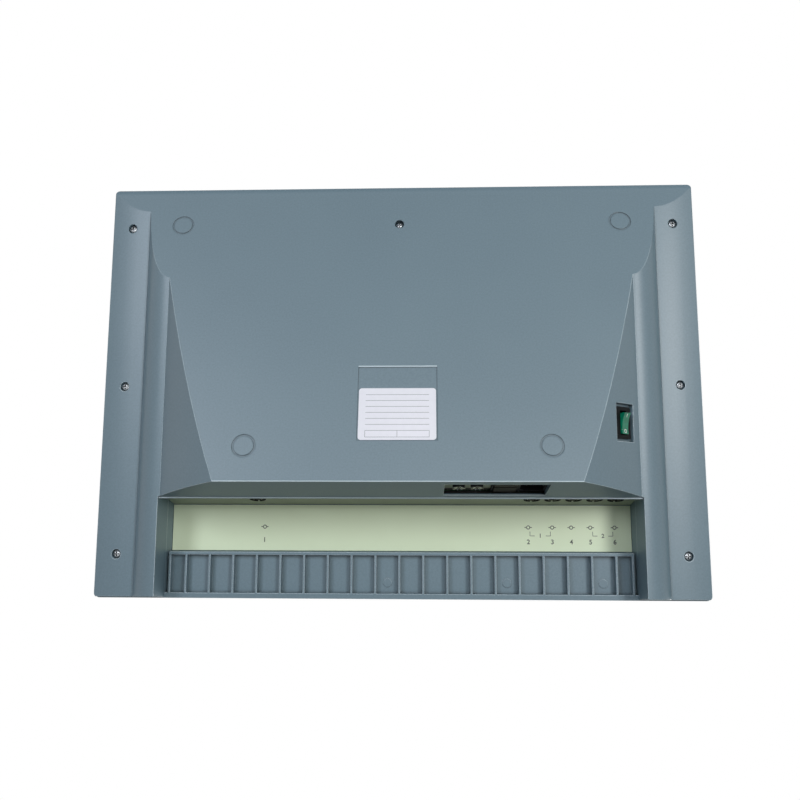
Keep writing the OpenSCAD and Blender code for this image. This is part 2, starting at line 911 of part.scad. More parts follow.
module power_rocker() {
    color("#1f9a6a") on_switch() translate([0, 0, pivot_z]) rotate([-rocker_lean, 0, 0]) {
        rotate([90, 0, 90]) translate([0, 0, -rocker_w / 2]) linear_extrude(rocker_w) polygon([
            [-rocker_l, rocker_rise],
            [-rocker_l * 0.5, 3.4],
            [0, 3.1],
            [rocker_l * 0.5, 3.4],
            [rocker_l, rocker_rise],
            [rocker_l, 2.4],
            [rocker_l * 0.5, -3],
            [-rocker_l * 0.5, -3],
            [-rocker_l, 2.4]
        ]);
        rotate([0, 90, 0]) cylinder(r = rocker_pin_r, h = rocker_w + 2, center = true);
    }
}

module switch_terminals() {
    blade_w = 4.8;
    blade_t = 0.8;
    blade_l = 8;
    color("#b89a4a") on_switch() for (i = [-1:1]) {
        translate([0, i * 5.5, -switch_body_t - blade_l]) centred_box(blade_w, blade_t, blade_l);
    }
}

// Mains inlet and data sockets

module inlet_body(length) {
    centred_box(inlet_w - inlet_flange_w, inlet_h - inlet_flange_w, length);
}

// The socket's outline: an upright rectangle whose two corners on one side are cut off
module socket_outline() {
    w = inlet_socket_w / 2;
    h = inlet_socket_h / 2;
    c = inlet_socket_w / 4;
    polygon([[-w, -h], [w - c, -h], [w, c - h], [w, h - c], [w - c, h], [-w, h]]);
}

module mains_inlet() {
    color(near_black) on_rear(inlet_x, connector_y, window_mid_z) difference() {
        union() {
            centred_box(inlet_w, inlet_h, inlet_flange_t);
            translate([0, 0, -inlet_back]) inlet_body(inlet_back);
        }
        translate([inlet_x - socket_x, 0, inlet_flange_t - inlet_socket_t])
            linear_extrude(far) socket_outline();
        translate([inlet_x - fuse_x, 0, inlet_flange_t - inlet_socket_t])
            centred_box(fuse_w, inlet_socket_h, far);
    }
}

module inlet_pins() {
    base = inlet_flange_t - inlet_socket_t;
    tab_l = 7;
    color(bright_metal) on_rear(socket_x, connector_y, window_mid_z) {
        for (pin = [[-pin_shift, -pin_spread], [-pin_shift, pin_spread], [pin_shift, 0]]) {
            translate([pin[0], pin[1], base]) centred_box(pin_w, pin_h, pin_l);
            translate([pin[0], pin[1], -inlet_back - tab_l]) centred_box(pin_w, pin_h, tab_l);
        }
    }
}

module fuse_drawer() {
    drawer_l = inlet_socket_t - 1;
    proud = 1.2;
    grip = 0.8;
    fuse_r = 2.6;
    end_wall = 3;
    color("#2a241f") on_rear(fuse_x, connector_y + inlet_flange_t - drawer_l, window_mid_z)
        difference() {
            centred_box(fuse_w - 2 * slide_gap, inlet_socket_h - 2 * slide_gap, drawer_l + proud);
            translate([0, 0, drawer_l + proud - grip]) centred_box(fuse_w, 2 * grip, far);
            translate([0, 0, end_wall]) cylinder(r = fuse_r, h = drawer_l - 2 * end_wall);
        }
}

module data_sockets() {
    proud = 3.2;
    back = 12;
    color(bright_metal) for (x = data_xs) {
        on_rear(x, connector_y, window_mid_z) {
            difference() {
                union() {
                    cylinder(r = data_r, h = proud);
                    translate([0, 0, -back]) cylinder(r = data_r - 1, h = back);
                    translate([0, 0, -back]) centred_box(10, 12, back - connector_plate_t - 0.5);
                }
                translate([0, 0, 3 - back]) cylinder(r = 1.6, h = far);
            }
        }
    }
}

// Audio sockets

module audio_sockets() {
    body_t = jack_l - jack_panel_t - 1;
    color(near_black) for (x = jack_xs) {
        on_rear(x, panel_y, jack_z) difference() {
            union() {
                translate([0, 0, -jack_panel_t]) cylinder(r = jack_neck_r, h = jack_panel_t + 1.2);
                translate([0, 0, -jack_panel_t - body_t]) centred_box(jack_body_w, 14, body_t);
            }
            translate([0, 0, 1.2 - jack_l]) cylinder(r = jack_r, h = far);
        }
    }
}

module audio_socket_nuts() {
    color(near_black) for (x = jack_xs) {
        on_rear(x, panel_y, jack_z) difference() {
            cylinder(r = jack_nut_r, h = jack_nut_t);
            translate([0, 0, -cut]) cylinder(r = jack_neck_r, h = far);
            for (turn = [0, 90]) {
                translate([0, 0, jack_nut_t - 0.7]) rotate([0, 0, turn])
                    centred_box(far, 1.4, far);
            }
        }
    }
}

// Control panel

module control_board() {
    color(board_green) on_parting() difference() {
        translate([0, control_board_y + control_board_d / 2, control_board_z])
            centred_box(control_board_w, control_board_d, board_t);
        for (place = control_post_places) {
            translate([place[0], place[1], -cut]) cylinder(r = board_screw_r + seat_gap, h = far);
        }
        translate([0, screw_ys[0], -cut]) cylinder(r = cover_boss_r + seat_gap, h = far);
    }
}

module board_screw() {
    screw(board_screw_r, 5, board_screw_head_r, board_screw_head_h);
}

module board_screws() {
    color(bright_metal) {
        on_parting() {
            for (place = control_post_places) {
                translate([place[0], place[1], control_board_z]) rotate([180, 0, 0]) board_screw();
            }
            for (place = display_places) {
                translate([place[0], place[1], ceiling - display_gap - board_t])
                    rotate([180, 0, 0]) board_screw();
            }
        }
        for (corner = board_post_places) {
            translate([
                main_board_place[0] + corner[0] * (main_board_w / 2 - board_edge),
                main_board_place[1] + corner[1] * (main_board_d / 2 - board_edge),
                base_board_top
            ])
                board_screw();
            translate([
                power_board_place[0] + corner[0] * (power_board_w / 2 - board_edge),
                power_board_place[1] + corner[1] * (power_board_d / 2 - board_edge),
                base_board_top
            ])
                board_screw();
        }
    }
}

module tact_switches() {
    tact_w = 6;
    color(near_black) on_parting() for (place = concat(key_places, bar_places)) {
        translate([place[0], place[1], board_top]) {
            centred_box(tact_w, tact_w, switch_tact_h);
            cylinder(r = plunger_r, h = switch_tact_h + plunger_h);
        }
    }
}

module indicator_lamps() {
    foot = 2.4;
    color("#4fae5a") on_parting() for (place = lamp_places) {
        translate([place[0], place[1], board_top]) {
            cylinder(r = foot, h = ceiling - 1 - board_top);
            cylinder(r = lamp_r, h = cover_h - board_top);
            translate([0, 0, cover_h - board_top]) sphere(r = lamp_r);
        }
    }
}

module encoder(side) {
    body_w = 14;
    body_t = 6.5;
    color(bright_metal) on_parting() translate([side * dial_x, dial_y, board_top]) difference() {
        union() {
            centred_box(body_w, body_w, body_t);
            cylinder(r = bush_r, h = bush_top - board_top);
        }
        translate([0, 0, 1]) cylinder(r = shaft_r + run_gap, h = far);
    }
}

module dial_shaft(side) {
    color(bright_metal) on_parting() translate([side * dial_x, dial_y, board_top + 1 + run_gap])
        cylinder(r = shaft_r, h = cover_h + dial_h - 3 - board_top - 1 - run_gap);
}

// A skirted dial with a fluted grip, hollow under its skirt
module dial(side) {
    skirt_t = 3;
    grip_r = dial_r * 0.74;
    flute_r = 1.6;
    flute_n = 20;
    base = cover_h + 0.8;
    color(near_black) on_parting() translate([side * dial_x, dial_y, base]) difference() {
        union() {
            rotate_extrude() polygon([
                [0, 0],
                [dial_r, 0],
                [dial_r, skirt_t - 1.4],
                [grip_r + 1, skirt_t],
                [grip_r, skirt_t + 0.6],
                [grip_r - 0.6, dial_h - 2.2],
                [grip_r - 2, dial_h - 0.8],
                [0, dial_h - 0.8]
            ]);
        }
        for (i = [0:flute_n - 1]) {
            rotate([0, 0, i * 360 / flute_n]) translate([grip_r + flute_r * 0.55, 0, skirt_t])
                cylinder(r = flute_r, h = far);
        }
        translate([0, 0, -cut]) cylinder(r = shaft_r, h = cover_h + dial_h - 3 - base + cut);
        translate([0, 0, -cut]) tube(grip_r - 3, bush_r + 2, skirt_t + cut);
        translate([0, 0, -cut]) cylinder(r = bush_r + slide_gap, h = bush_top - base + 0.4 + cut);
        translate([0, grip_r - 6, dial_h - 1.6]) centred_box(1.6, 8, far);
    }
}

// A sprung cap that slides in the panel: cap, retaining flange and post
module sliding_cap(place, w, d, h, travel, r) {
    flange_z = ceiling - slide_gap - flange_t;
    post_bottom = plunger_top + travel + press_gap;
    on_parting() translate([place[0], place[1], 0]) {
        translate([0, 0, flange_z]) rounded_box(w, d, cover_h + h - flange_z, r);
        translate([0, 0, flange_z])
            rounded_box(w + 2 * flange_w, d + 2 * flange_w, flange_t, r);
        translate([0, 0, post_bottom]) cylinder(r = 3, h = flange_z + flange_t - post_bottom);
    }
}

module key(i) {
    color("#d9dcd8")
        sliding_cap(key_places[i], key_w, key_d, key_h, key_travel, 1.5);
}

module tone_bar(i) {
    color("#d9dcd8") sliding_cap(bar_places[i], bar_w, bar_d, bar_h, bar_travel, 3);
}

// Display

module display_lens() {
    color("#9fb0a8") on_parting() translate([0, lens_y, cover_h - lens_t])
        rounded_box(lens_w, lens_d, lens_t, 3 - seat_gap);
}

module display_board() {
    color(board_green) on_parting() difference() {
        translate([0, lens_y, ceiling - display_gap - board_t])
            centred_box(display_board_w, display_board_d, board_t);
        for (place = display_places) {
            translate([place[0], place[1], -cut]) cylinder(r = board_screw_r + seat_gap, h = far);
        }
    }
}

module display_glass() {
    color("#7f9a72") on_parting() translate([0, lens_y, ceiling - display_gap])
        centred_box(lens_w - 2 * lens_ledge + 4, lens_d - 2 * lens_ledge + 4, 2);
}

module display_frame() {
    w = lens_w - 2 * lens_ledge;
    d = lens_d - 2 * lens_ledge;
    color(bright_metal) on_parting() translate([0, lens_y, ceiling - display_gap]) difference() {
        centred_box(w + 7, d + 5.5, display_gap - 0.3);
        translate([0, 0, -cut]) centred_box(w + 4, d + 4, 2 + cut);
        centred_box(w - 2, d - 2, far);
    }
}

// Boards in the base

module base_board(place, w, d) {
    color(board_green) difference() {
        translate([place[0], place[1], wall + post_h]) centred_box(w, d, board_t);
        board_post_holes(place, w, d);
    }
}

module main_board_parts() {
    // Each chip's place in shares of the board, then its width, depth and height
    chips = [
        [-0.16, 0.08, 24, 24, 2.4],
        [0.18, 0.15, 16, 8, 2.6],
        [0.18, -0.08, 16, 8, 2.6],
        [-0.27, -0.25, 12, 18, 3]
    ];
    can_r = 3.5;
    can_h = 9;
    can_xs = [-0.37, -0.28, -0.19, -0.1];
    can_y = 0.37;
    color(near_black) translate([main_board_place[0], main_board_place[1], base_board_top]) {
        for (chip = chips) {
            translate([chip[0] * main_board_w, chip[1] * main_board_d, 0])
                centred_box(chip[2], chip[3], chip[4]);
        }
        for (x = can_xs) {
            translate([x * main_board_w, can_y * main_board_d, 0]) cylinder(r = can_r, h = can_h);
        }
    }
}

// A frame of ferrite with its winding through it
module power_transformer() {
    core_w = 28;
    core_d = 24;
    core_h = 20;
    limb = 7;
    base_t = 4;
    winding_d = 30;
    play = 0.2;
    color("#8f7a3a")
        translate([
            power_board_place[0] - power_board_w / 6,
            power_board_place[1] + core_d / 6,
            base_board_top
        ]) {
            difference() {
                centred_box(core_w, core_d, core_h);
                translate([0, 0, base_t])
                    centred_box(core_w - 2 * limb, far, core_h - 2 * base_t);
            }
            translate([0, 0, base_t + play]) centred_box(
                core_w - 2 * limb - 2 * play,
                winding_d,
                core_h - 2 * base_t - 2 * play
            );
        }
}

module power_capacitors() {
    large_r = 8;
    large_h = 18;
    small_r = 4;
    small_h = 12;
    x = power_board_w / 6;
    color(near_black) translate([power_board_place[0], power_board_place[1], base_board_top]) {
        translate([x, power_board_d / 2 - 2 * large_r, 0]) cylinder(r = large_r, h = large_h);
        for (i = [0, 1]) {
            translate([x + 3 * small_r * i, 3 * small_r - power_board_d / 2, 0])
                cylinder(r = small_r, h = small_h);
        }
    }
}

module power_heat_sink() {
    sink_w = 26;
    sink_h = 16;
    sink_t = 3;
    fin_t = 1.2;
    fin_d = 5;
    fin_pitch = 5.6;
    color(bright_metal)
        translate([
            power_board_place[0] + power_board_w / 6,
            power_board_place[1] - sink_t,
            base_board_top
        ]) {
            centred_box(sink_w, sink_t, sink_h);
            for (i = [-2:2]) {
                translate([fin_pitch * i, (fin_d + sink_t) / 2 - sink_t / 5, 0])
                    centred_box(fin_t, fin_d, sink_h);
            }
        }
}

module monitor_speaker() {
    // Heights of the basket's steps, and the depth of its cup
    basket_z = [0, 2, 5];
    cup = 3;
    color(near_black) on_parting()
        translate([speaker_place[0], speaker_place[1], ceiling - basket_z[2] - cup]) difference() {
            union() {
                cylinder(r = speaker_r * 0.5, h = basket_z[1]);
                translate([0, 0, basket_z[1]])
                    cylinder(r = speaker_r * 0.75, h = basket_z[2] - basket_z[1]);
                translate([0, 0, basket_z[2]]) cylinder(r = speaker_r, h = cup);
            }
            translate([0, 0, basket_z[2] + 1]) cylinder(r = speaker_r - 2, h = far);
        }
}

// A flat cable from the control board down to the main board, with a slack bend
module ribbon_cable() {
    cable_w = 32;
    cable_t = 1;
    low = base_board_top;
    y = main_board_place[1] - main_board_d / 2 + 2 * board_edge;
    high = room_z(plane_y(y, 0), 0) - 1;
    bow = 6;
    bow_r = (pow(bow, 2) + pow((high - low) / 2, 2)) / (2 * bow);
    color("#9aa0a4") translate([main_board_place[0] - cable_w / 2, y, (high + low) / 2])
        rotate([90, 0, 90]) linear_extrude(cable_w) intersection() {
            difference() {
                translate([bow_r - bow, 0]) circle(r = bow_r + cable_t / 2, $fn = 180);
                translate([bow_r - bow, 0]) circle(r = bow_r - cable_t / 2, $fn = 180);
            }
            translate([-bow - cable_t, (low - high) / 2]) square([bow + 2 * cable_t, high - low]);
        }
}

lower_cover();
upper_cover();
panel_overlay();
socket_panel();
socket_label_plate();
connector_plate();
rating_label();
case_screws();
power_switch_body();
power_rocker();
switch_terminals();
mains_inlet();
inlet_pins();
fuse_drawer();
data_sockets();
audio_sockets();
audio_socket_nuts();
control_board();
board_screws();
tact_switches();
indicator_lamps();
encoder(-1);  // left_encoder
encoder(1);  // right_encoder
dial_shaft(-1);  // left_dial_shaft
dial_shaft(1);  // right_dial_shaft
dial(-1);  // left_dial
dial(1);  // right_dial
tone_bar(0);  // left_tone_bar
tone_bar(1);  // right_tone_bar
key(0);  // key_1
key(1);  // key_2
key(2);  // key_3
key(3);  // key_4
key(4);  // key_5
key(5);  // key_6
key(6);  // key_7
key(7);  // key_8
key(8);  // key_9
key(9);  // key_10
display_lens();
display_board();
display_glass();
display_frame();
base_board(main_board_place, main_board_w, main_board_d);  // main_board
main_board_parts();
base_board(power_board_place, power_board_w, power_board_d);  // power_board
power_transformer();
power_capacitors();
power_heat_sink();
monitor_speaker();
ribbon_cable();
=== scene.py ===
import json
import math

import bmesh
import bpy
from mathutils import Matrix, Vector


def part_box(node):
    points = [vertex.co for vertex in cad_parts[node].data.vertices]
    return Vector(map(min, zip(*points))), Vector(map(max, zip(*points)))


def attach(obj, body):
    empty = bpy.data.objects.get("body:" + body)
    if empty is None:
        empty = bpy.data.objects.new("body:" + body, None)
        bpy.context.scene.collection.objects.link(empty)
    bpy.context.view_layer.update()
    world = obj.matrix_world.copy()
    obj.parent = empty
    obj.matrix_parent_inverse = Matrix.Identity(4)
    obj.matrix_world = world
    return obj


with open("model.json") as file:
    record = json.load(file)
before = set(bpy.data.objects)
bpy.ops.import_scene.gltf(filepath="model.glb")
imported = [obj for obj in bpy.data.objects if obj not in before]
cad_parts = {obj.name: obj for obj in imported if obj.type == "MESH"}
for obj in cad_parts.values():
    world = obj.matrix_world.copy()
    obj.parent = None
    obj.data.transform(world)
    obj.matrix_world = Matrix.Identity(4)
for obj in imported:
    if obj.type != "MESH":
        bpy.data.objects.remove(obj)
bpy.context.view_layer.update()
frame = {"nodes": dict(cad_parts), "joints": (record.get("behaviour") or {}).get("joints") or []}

# Case covers -------------------------------------------------------------------------------
# The lower and the upper cover are moulded in a blue-grey ABS, in steel moulds that were
# spark-eroded. The skin has a fine, even grain with a satin sheen. Its outer edges are a little
# smoother and drawn lighter as a painted highlight, its grooves and corners are darkened as
# painted shade, and its front edge was scraped matt.

MM = 0.001


def colour(code):
    """An sRGB hex colour as linear RGBA."""
    channels = [int(code[i : i + 2], 16) / 255 for i in (1, 3, 5)]
    return (*[c / 12.92 if c <= 0.04045 else ((c + 0.055) / 1.055) ** 2.4 for c in channels], 1)


def add(tree, kind, inputs=None, **settings):
    """Adds a node to a tree with its settings, and the values or links of its inputs."""
    node = tree.nodes.new(kind)
    for name, value in settings.items():
        setattr(node, name, value)
    for socket, value in (inputs or {}).items():
        if isinstance(value, bpy.types.NodeSocket):
            tree.links.new(value, node.inputs[socket])
        else:
            node.inputs[socket].default_value = value
    return node


def finish_tree(name):
    """A new material with an empty tree, and the coordinates that its pattern is drawn in."""
    made = bpy.data.materials.new(name)
    made.use_nodes = True
    made.node_tree.nodes.clear()
    return made, made.node_tree, add(made.node_tree, "ShaderNodeTexCoord").outputs["Object"]


def cover(tree, shader):
    """Connects a shader to the tree's output."""
    add(tree, "ShaderNodeOutputMaterial", {"Surface": shader.outputs[0]})


def dress(material, *nodes):
    """Gives CAD nodes one material."""
    for node in nodes:
        mesh = frame["nodes"][node].data
        mesh.materials.clear()
        mesh.materials.append(material)


grain = 1.2 * MM  # the real grain is about 0.3 mm, drawn coarser so that it shows
clouding = 90 * MM
edge_round = 0.8 * MM
open_reach = 12 * MM
groove_reach = 2 * MM
highlight_from, highlight_to = -100 * MM, -70 * MM
front_from, front_to = -134 * MM, -138 * MM
scraped_roughness = 0.85
eroded_abs, tree, place = finish_tree("spark_eroded_abs")
skin = add(tree, "ShaderNodeTexNoise",
           {"Vector": place, "Scale": 1 / grain, "Detail": 3, "Roughness": 0.65})
cloud = add(tree, "ShaderNodeTexNoise", {"Vector": place, "Scale": 1 / clouding, "Detail": 2})
rounded = add(tree, "ShaderNodeBevel", {"Radius": edge_round}, samples=4)
flat = add(tree, "ShaderNodeNewGeometry")
facing = add(tree, "ShaderNodeSeparateXYZ", {"Vector": flat.outputs["True Normal"]})
spot = add(tree, "ShaderNodeSeparateXYZ", {"Vector": place})
turn = add(tree, "ShaderNodeVectorMath",
           {0: rounded.outputs[0], 1: flat.outputs["Normal"]}, operation="DOT_PRODUCT")
edge = add(tree, "ShaderNodeMapRange",
           {"Value": turn.outputs["Value"], "From Min": 0.995, "From Max": 0.93})
open_air = add(tree, "ShaderNodeAmbientOcclusion", {"Distance": open_reach}, samples=4,
               only_local=True)
outer = add(tree, "ShaderNodeMapRange",
            {"Value": open_air.outputs["AO"], "From Min": 0.7, "From Max": 0.95})
highlight_toward_back = add(tree, "ShaderNodeMapRange",  # the painted edge highlight fades in toward the back of the case
              {"Value": spot.outputs["Y"], "From Min": highlight_from, "From Max": highlight_to})
highlight_reach = add(tree, "ShaderNodeMath",
              {0: outer.outputs[0], 1: highlight_toward_back.outputs[0]}, operation="MULTIPLY")
edge_highlight = add(tree, "ShaderNodeMath",
             {0: edge.outputs[0], 1: highlight_reach.outputs[0]}, operation="MULTIPLY")
# On the flat base the painted highlight is drawn only as lines on the label's step, the rear edge and
# the outer corners.
label_step_y, label_step_reach, base_rear_y = 2.2 * MM, 25.8 * MM, 80.6 * MM
step_line_half, rear_line_w = 0.45 * MM, 0.55 * MM
hip_x = 108 * MM
hip_share = 0.7
step_line = add(tree, "ShaderNodeMath",
                {0: spot.outputs["Y"], 1: label_step_y, 2: step_line_half}, operation="COMPARE")
sideways = add(tree, "ShaderNodeMath", {0: spot.outputs["X"]}, operation="ABSOLUTE")
step_width = add(tree, "ShaderNodeMath", {0: sideways.outputs[0], 1: label_step_reach},
                 operation="LESS_THAN")
step = add(tree, "ShaderNodeMath",
           {0: step_line.outputs[0], 1: step_width.outputs[0]}, operation="MULTIPLY")
rear_line = add(tree, "ShaderNodeMath",
                {0: spot.outputs["Y"], 1: base_rear_y - rear_line_w}, operation="GREATER_THAN")
base_highlight_lines = add(tree, "ShaderNodeMath",
              {0: step.outputs[0], 1: rear_line.outputs[0]}, operation="MAXIMUM")
hip_side = add(tree, "ShaderNodeMath", {0: sideways.outputs[0], 1: hip_x},
               operation="GREATER_THAN")
hip = add(tree, "ShaderNodeMath", {0: hip_side.outputs[0], 1: edge_highlight.outputs[0]},
          operation="MULTIPLY")
base_highlight = add(tree, "ShaderNodeMath", {0: hip.outputs[0], 1: hip_share, 2: base_highlight_lines.outputs[0]},
                operation="MULTIPLY_ADD")
base_side = add(tree, "ShaderNodeMath", {0: facing.outputs["Z"], 1: -0.999},
                operation="LESS_THAN")
painted_highlight = add(tree, "ShaderNodeMix",
           {0: base_side.outputs[0], 2: edge_highlight.outputs[0], 3: base_highlight.outputs[0]},
           data_type="FLOAT")
tone = add(tree, "ShaderNodeMix",
           {"Factor": cloud.outputs["Fac"], 6: colour("#586e79"), 7: colour("#617781")},
           data_type="RGBA")
speck = add(tree, "ShaderNodeMapRange",
            {"Value": skin.outputs["Fac"], "From Min": 0.35, "From Max": 0.65,
             "To Min": 0.0, "To Max": 0.16})
grained = add(tree, "ShaderNodeMix",
              {"Factor": speck.outputs[0], 6: tone.outputs[2], 7: colour("#859aa4")},
              data_type="RGBA")
# Painted shade: grooves, inner corners and counterbores are darkened by their short-range occlusion.
nook = add(tree, "ShaderNodeAmbientOcclusion", {"Distance": groove_reach}, samples=4, only_local=True)
groove_shade = add(tree, "ShaderNodeMapRange",
           {"Value": nook.outputs["AO"], "From Min": 0.9, "From Max": 0.5,
            "To Min": 0.0, "To Max": 0.6})
groove_shaded = add(tree, "ShaderNodeMix",
            {"Factor": groove_shade.outputs[0], 6: grained.outputs[2], 7: colour("#2f3a3f")},
            data_type="RGBA")
# Painted highlight: the masked edges and lines are drawn in a lighter colour, as light catching them.
highlighted = add(tree, "ShaderNodeMix",
                {"Factor": painted_highlight.outputs[0], 6: groove_shaded.outputs[2], 7: colour("#bfd0d7")},
                data_type="RGBA")
sheen = add(tree, "ShaderNodeMapRange",
            {"Value": painted_highlight.outputs[0], "To Min": 0.42, "To Max": 0.3})
scraped = add(tree, "ShaderNodeMapRange",
              {"Value": facing.outputs["Y"], "From Min": -0.3, "From Max": -0.8,
               "To Min": 0.0, "To Max": scraped_roughness})
near_front = add(tree, "ShaderNodeMapRange",
                 {"Value": spot.outputs["Y"], "From Min": front_from, "From Max": front_to,
                  "To Min": 0.0, "To Max": scraped_roughness})
matt = add(tree, "ShaderNodeMath",
           {0: scraped.outputs[0], 1: near_front.outputs[0]}, operation="MAXIMUM")
rough = add(tree, "ShaderNodeMath",
            {0: sheen.outputs[0], 1: matt.outputs[0]}, operation="MAXIMUM")
relief = add(tree, "ShaderNodeBump",
             {"Height": skin.outputs["Fac"], "Strength": 0.35, "Distance": 0.05 * MM,
              "Normal": rounded.outputs[0]})
cover(tree, add(tree, "ShaderNodeBsdfPrincipled",
                {"Base Color": highlighted.outputs[2], "Roughness": rough.outputs[0],
                 "IOR": 1.54, "Specular IOR Level": 0.6, "Normal": relief.outputs[0]}))
dress(eroded_abs, "lower_cover", "upper_cover")

# Rating label ------------------------------------------------------------------------------
# A white polyester film with a thin clear coat, stuck in a shallow recess of the base. It is
# blank but for the ruled lines of an empty form, printed in grey.

BASE_PLANE = Matrix.Diagonal((1, -1, -1, 1))  # reads upright from below, its front edge on top


def ink(name, code, roughness):
    """A printing ink, slightly uneven in density."""
    made, tree, place = finish_tree(name)
    density = add(tree, "ShaderNodeTexNoise",
                  {"Vector": place, "Scale": 1 / (0.7 * MM), "Detail": 2})
    faint = add(tree, "ShaderNodeMapRange",
                {"Value": density.outputs["Fac"], "From Min": 0.4, "From Max": 0.8,
                 "To Min": 0.0, "To Max": 0.35})
    shade = add(tree, "ShaderNodeMix",
                {"Factor": faint.outputs[0], 6: colour(code), 7: colour("#8a918c")},
                data_type="RGBA")
    cover(tree, add(tree, "ShaderNodeBsdfPrincipled",
                    {"Base Color": shade.outputs[2], "Roughness": roughness, "IOR": 1.5}))
    return made


def printing(name, plane, strokes, digits, material, body, rings=(), film=0.03 * MM):
    """One printed layer on a plane. Strokes are (x, y, width, height) rectangles, digits
    are (text, x, y, height) and rings are (x, y, radius, width), all in millimetres about
    their middles."""
    layer = bmesh.new()
    for x, y, radius, width in rings:
        steps = 32
        rims = []
        for reach in (radius, radius - width):
            for level in (film / 2, -film / 2):
                rims.append([layer.verts.new((x * MM + reach * MM * math.cos(i * math.tau / steps),
                                              y * MM + reach * MM * math.sin(i * math.tau / steps),
                                              level)) for i in range(steps)])
        outer_top, outer_low, inner_top, inner_low = rims
        for one, other in ((outer_top, inner_top), (inner_top, inner_low),
                           (inner_low, outer_low), (outer_low, outer_top)):
            for i in range(steps):
                j = (i + 1) % steps
                layer.faces.new((one[i], one[j], other[j], other[i]))
    for x, y, w, h in strokes:
        made = bmesh.ops.create_cube(layer, size=1)
        size = Matrix.Diagonal((w * MM, h * MM, film, 1))
        bmesh.ops.transform(layer, verts=made["verts"],
                            matrix=Matrix.Translation((x * MM, y * MM, 0)) @ size)
    for text, x, y, height in digits:
        curve = bpy.data.curves.new("figure", "FONT")
        curve.body = text
        curve.size = height * MM * 1.4
        curve.align_x = "CENTER"
        curve.align_y = "CENTER"
        curve.extrude = film / 2
        curve.offset = height * 0.03 * MM
        curve.resolution_u = 3
        figure = bpy.data.objects.new("figure", curve)
        bpy.context.scene.collection.objects.link(figure)
        bpy.context.view_layer.update()
        mesh = figure.to_mesh()
        mesh.transform(Matrix.Translation((x * MM, y * MM, 0)))
        layer.from_mesh(mesh)
        figure.to_mesh_clear()
        bpy.data.objects.remove(figure)
        bpy.data.curves.remove(curve)
    layer.transform(plane)
    bmesh.ops.recalc_face_normals(layer, faces=layer.faces)
    mesh = bpy.data.meshes.new(name)
    layer.to_mesh(mesh)
    layer.free()
    mesh.materials.append(material)
    piece = bpy.data.objects.new(name, mesh)
    bpy.context.scene.collection.objects.link(piece)
    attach(piece, body)
    return piece


film, tree, place = finish_tree("white_polyester_film")
fibre = add(tree, "ShaderNodeTexNoise", {"Vector": place, "Scale": 1 / (3 * MM), "Detail": 4})
white = add(tree, "ShaderNodeMix",
            {"Factor": fibre.outputs["Fac"], 6: colour("#e0e1e8"), 7: colour("#e8e9f0")},
            data_type="RGBA")
ripple = add(tree, "ShaderNodeBump",
             {"Height": fibre.outputs["Fac"], "Strength": 0.1, "Distance": 0.1 * MM})
cover(tree, add(tree, "ShaderNodeBsdfPrincipled",
                {"Base Color": white.outputs[2], "Roughness": 0.45, "IOR": 1.57,
                 "Coat Weight": 0.3, "Coat Roughness": 0.15, "Normal": ripple.outputs[0]}))
dress(film, "rating_label")

label_low, label_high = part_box("rating_label")
label_middle = (label_low + label_high) / 2
label_plane = Matrix.Translation((label_middle.x, label_middle.y, label_low.z)) @ BASE_PLANE
grey_ink = ink("grey_ink", "#5d6466", 0.5)
row_pitch = 4.1
form_rows = [(0, 13.2 - row_pitch * i, 41, 0.22) for i in range(7)]
form_box = [(x, -13.6, 0.22, 4.4) for x in (-20.5, 0, 20.5)]
form_box += [(0, -15.8, 41.2, 0.22)]
printing("rating_label_rules", label_plane, form_rows + form_box, [], grey_ink, "case")

# Socket plate --------------------------------------------------------------------------------
# A thin aluminium sheet over the cable bay, sprayed a pale green with a smooth satin finish.
# It carries screen-printed socket numbers. The panel that holds the sockets and the
# connector plate in the window have the same paint on one part of each, with black painted
# shade on the rest, and on the panel a darker tint of painted shade.

satin_paint, tree, place = finish_tree("pale_green_satin_paint")
mist = add(tree, "ShaderNodeTexNoise", {"Vector": place, "Scale": 1 / (40 * MM), "Detail": 3})
green = add(tree, "ShaderNodeMix",
            {"Factor": mist.outputs["Fac"], 6: colour("#d4e1c1"), 7: colour("#ddeacc")},
            data_type="RGBA")
peel = add(tree, "ShaderNodeTexNoise", {"Vector": place, "Scale": 1 / (1.5 * MM), "Detail": 2})
orange_peel = add(tree, "ShaderNodeBump",
                  {"Height": peel.outputs["Fac"], "Strength": 0.15, "Distance": 0.02 * MM})
cover(tree, add(tree, "ShaderNodeBsdfPrincipled",
                {"Base Color": green.outputs[2], "Roughness": 0.38, "IOR": 1.5,
                 "Normal": orange_peel.outputs[0]}))
dress(satin_paint, "socket_label_plate")


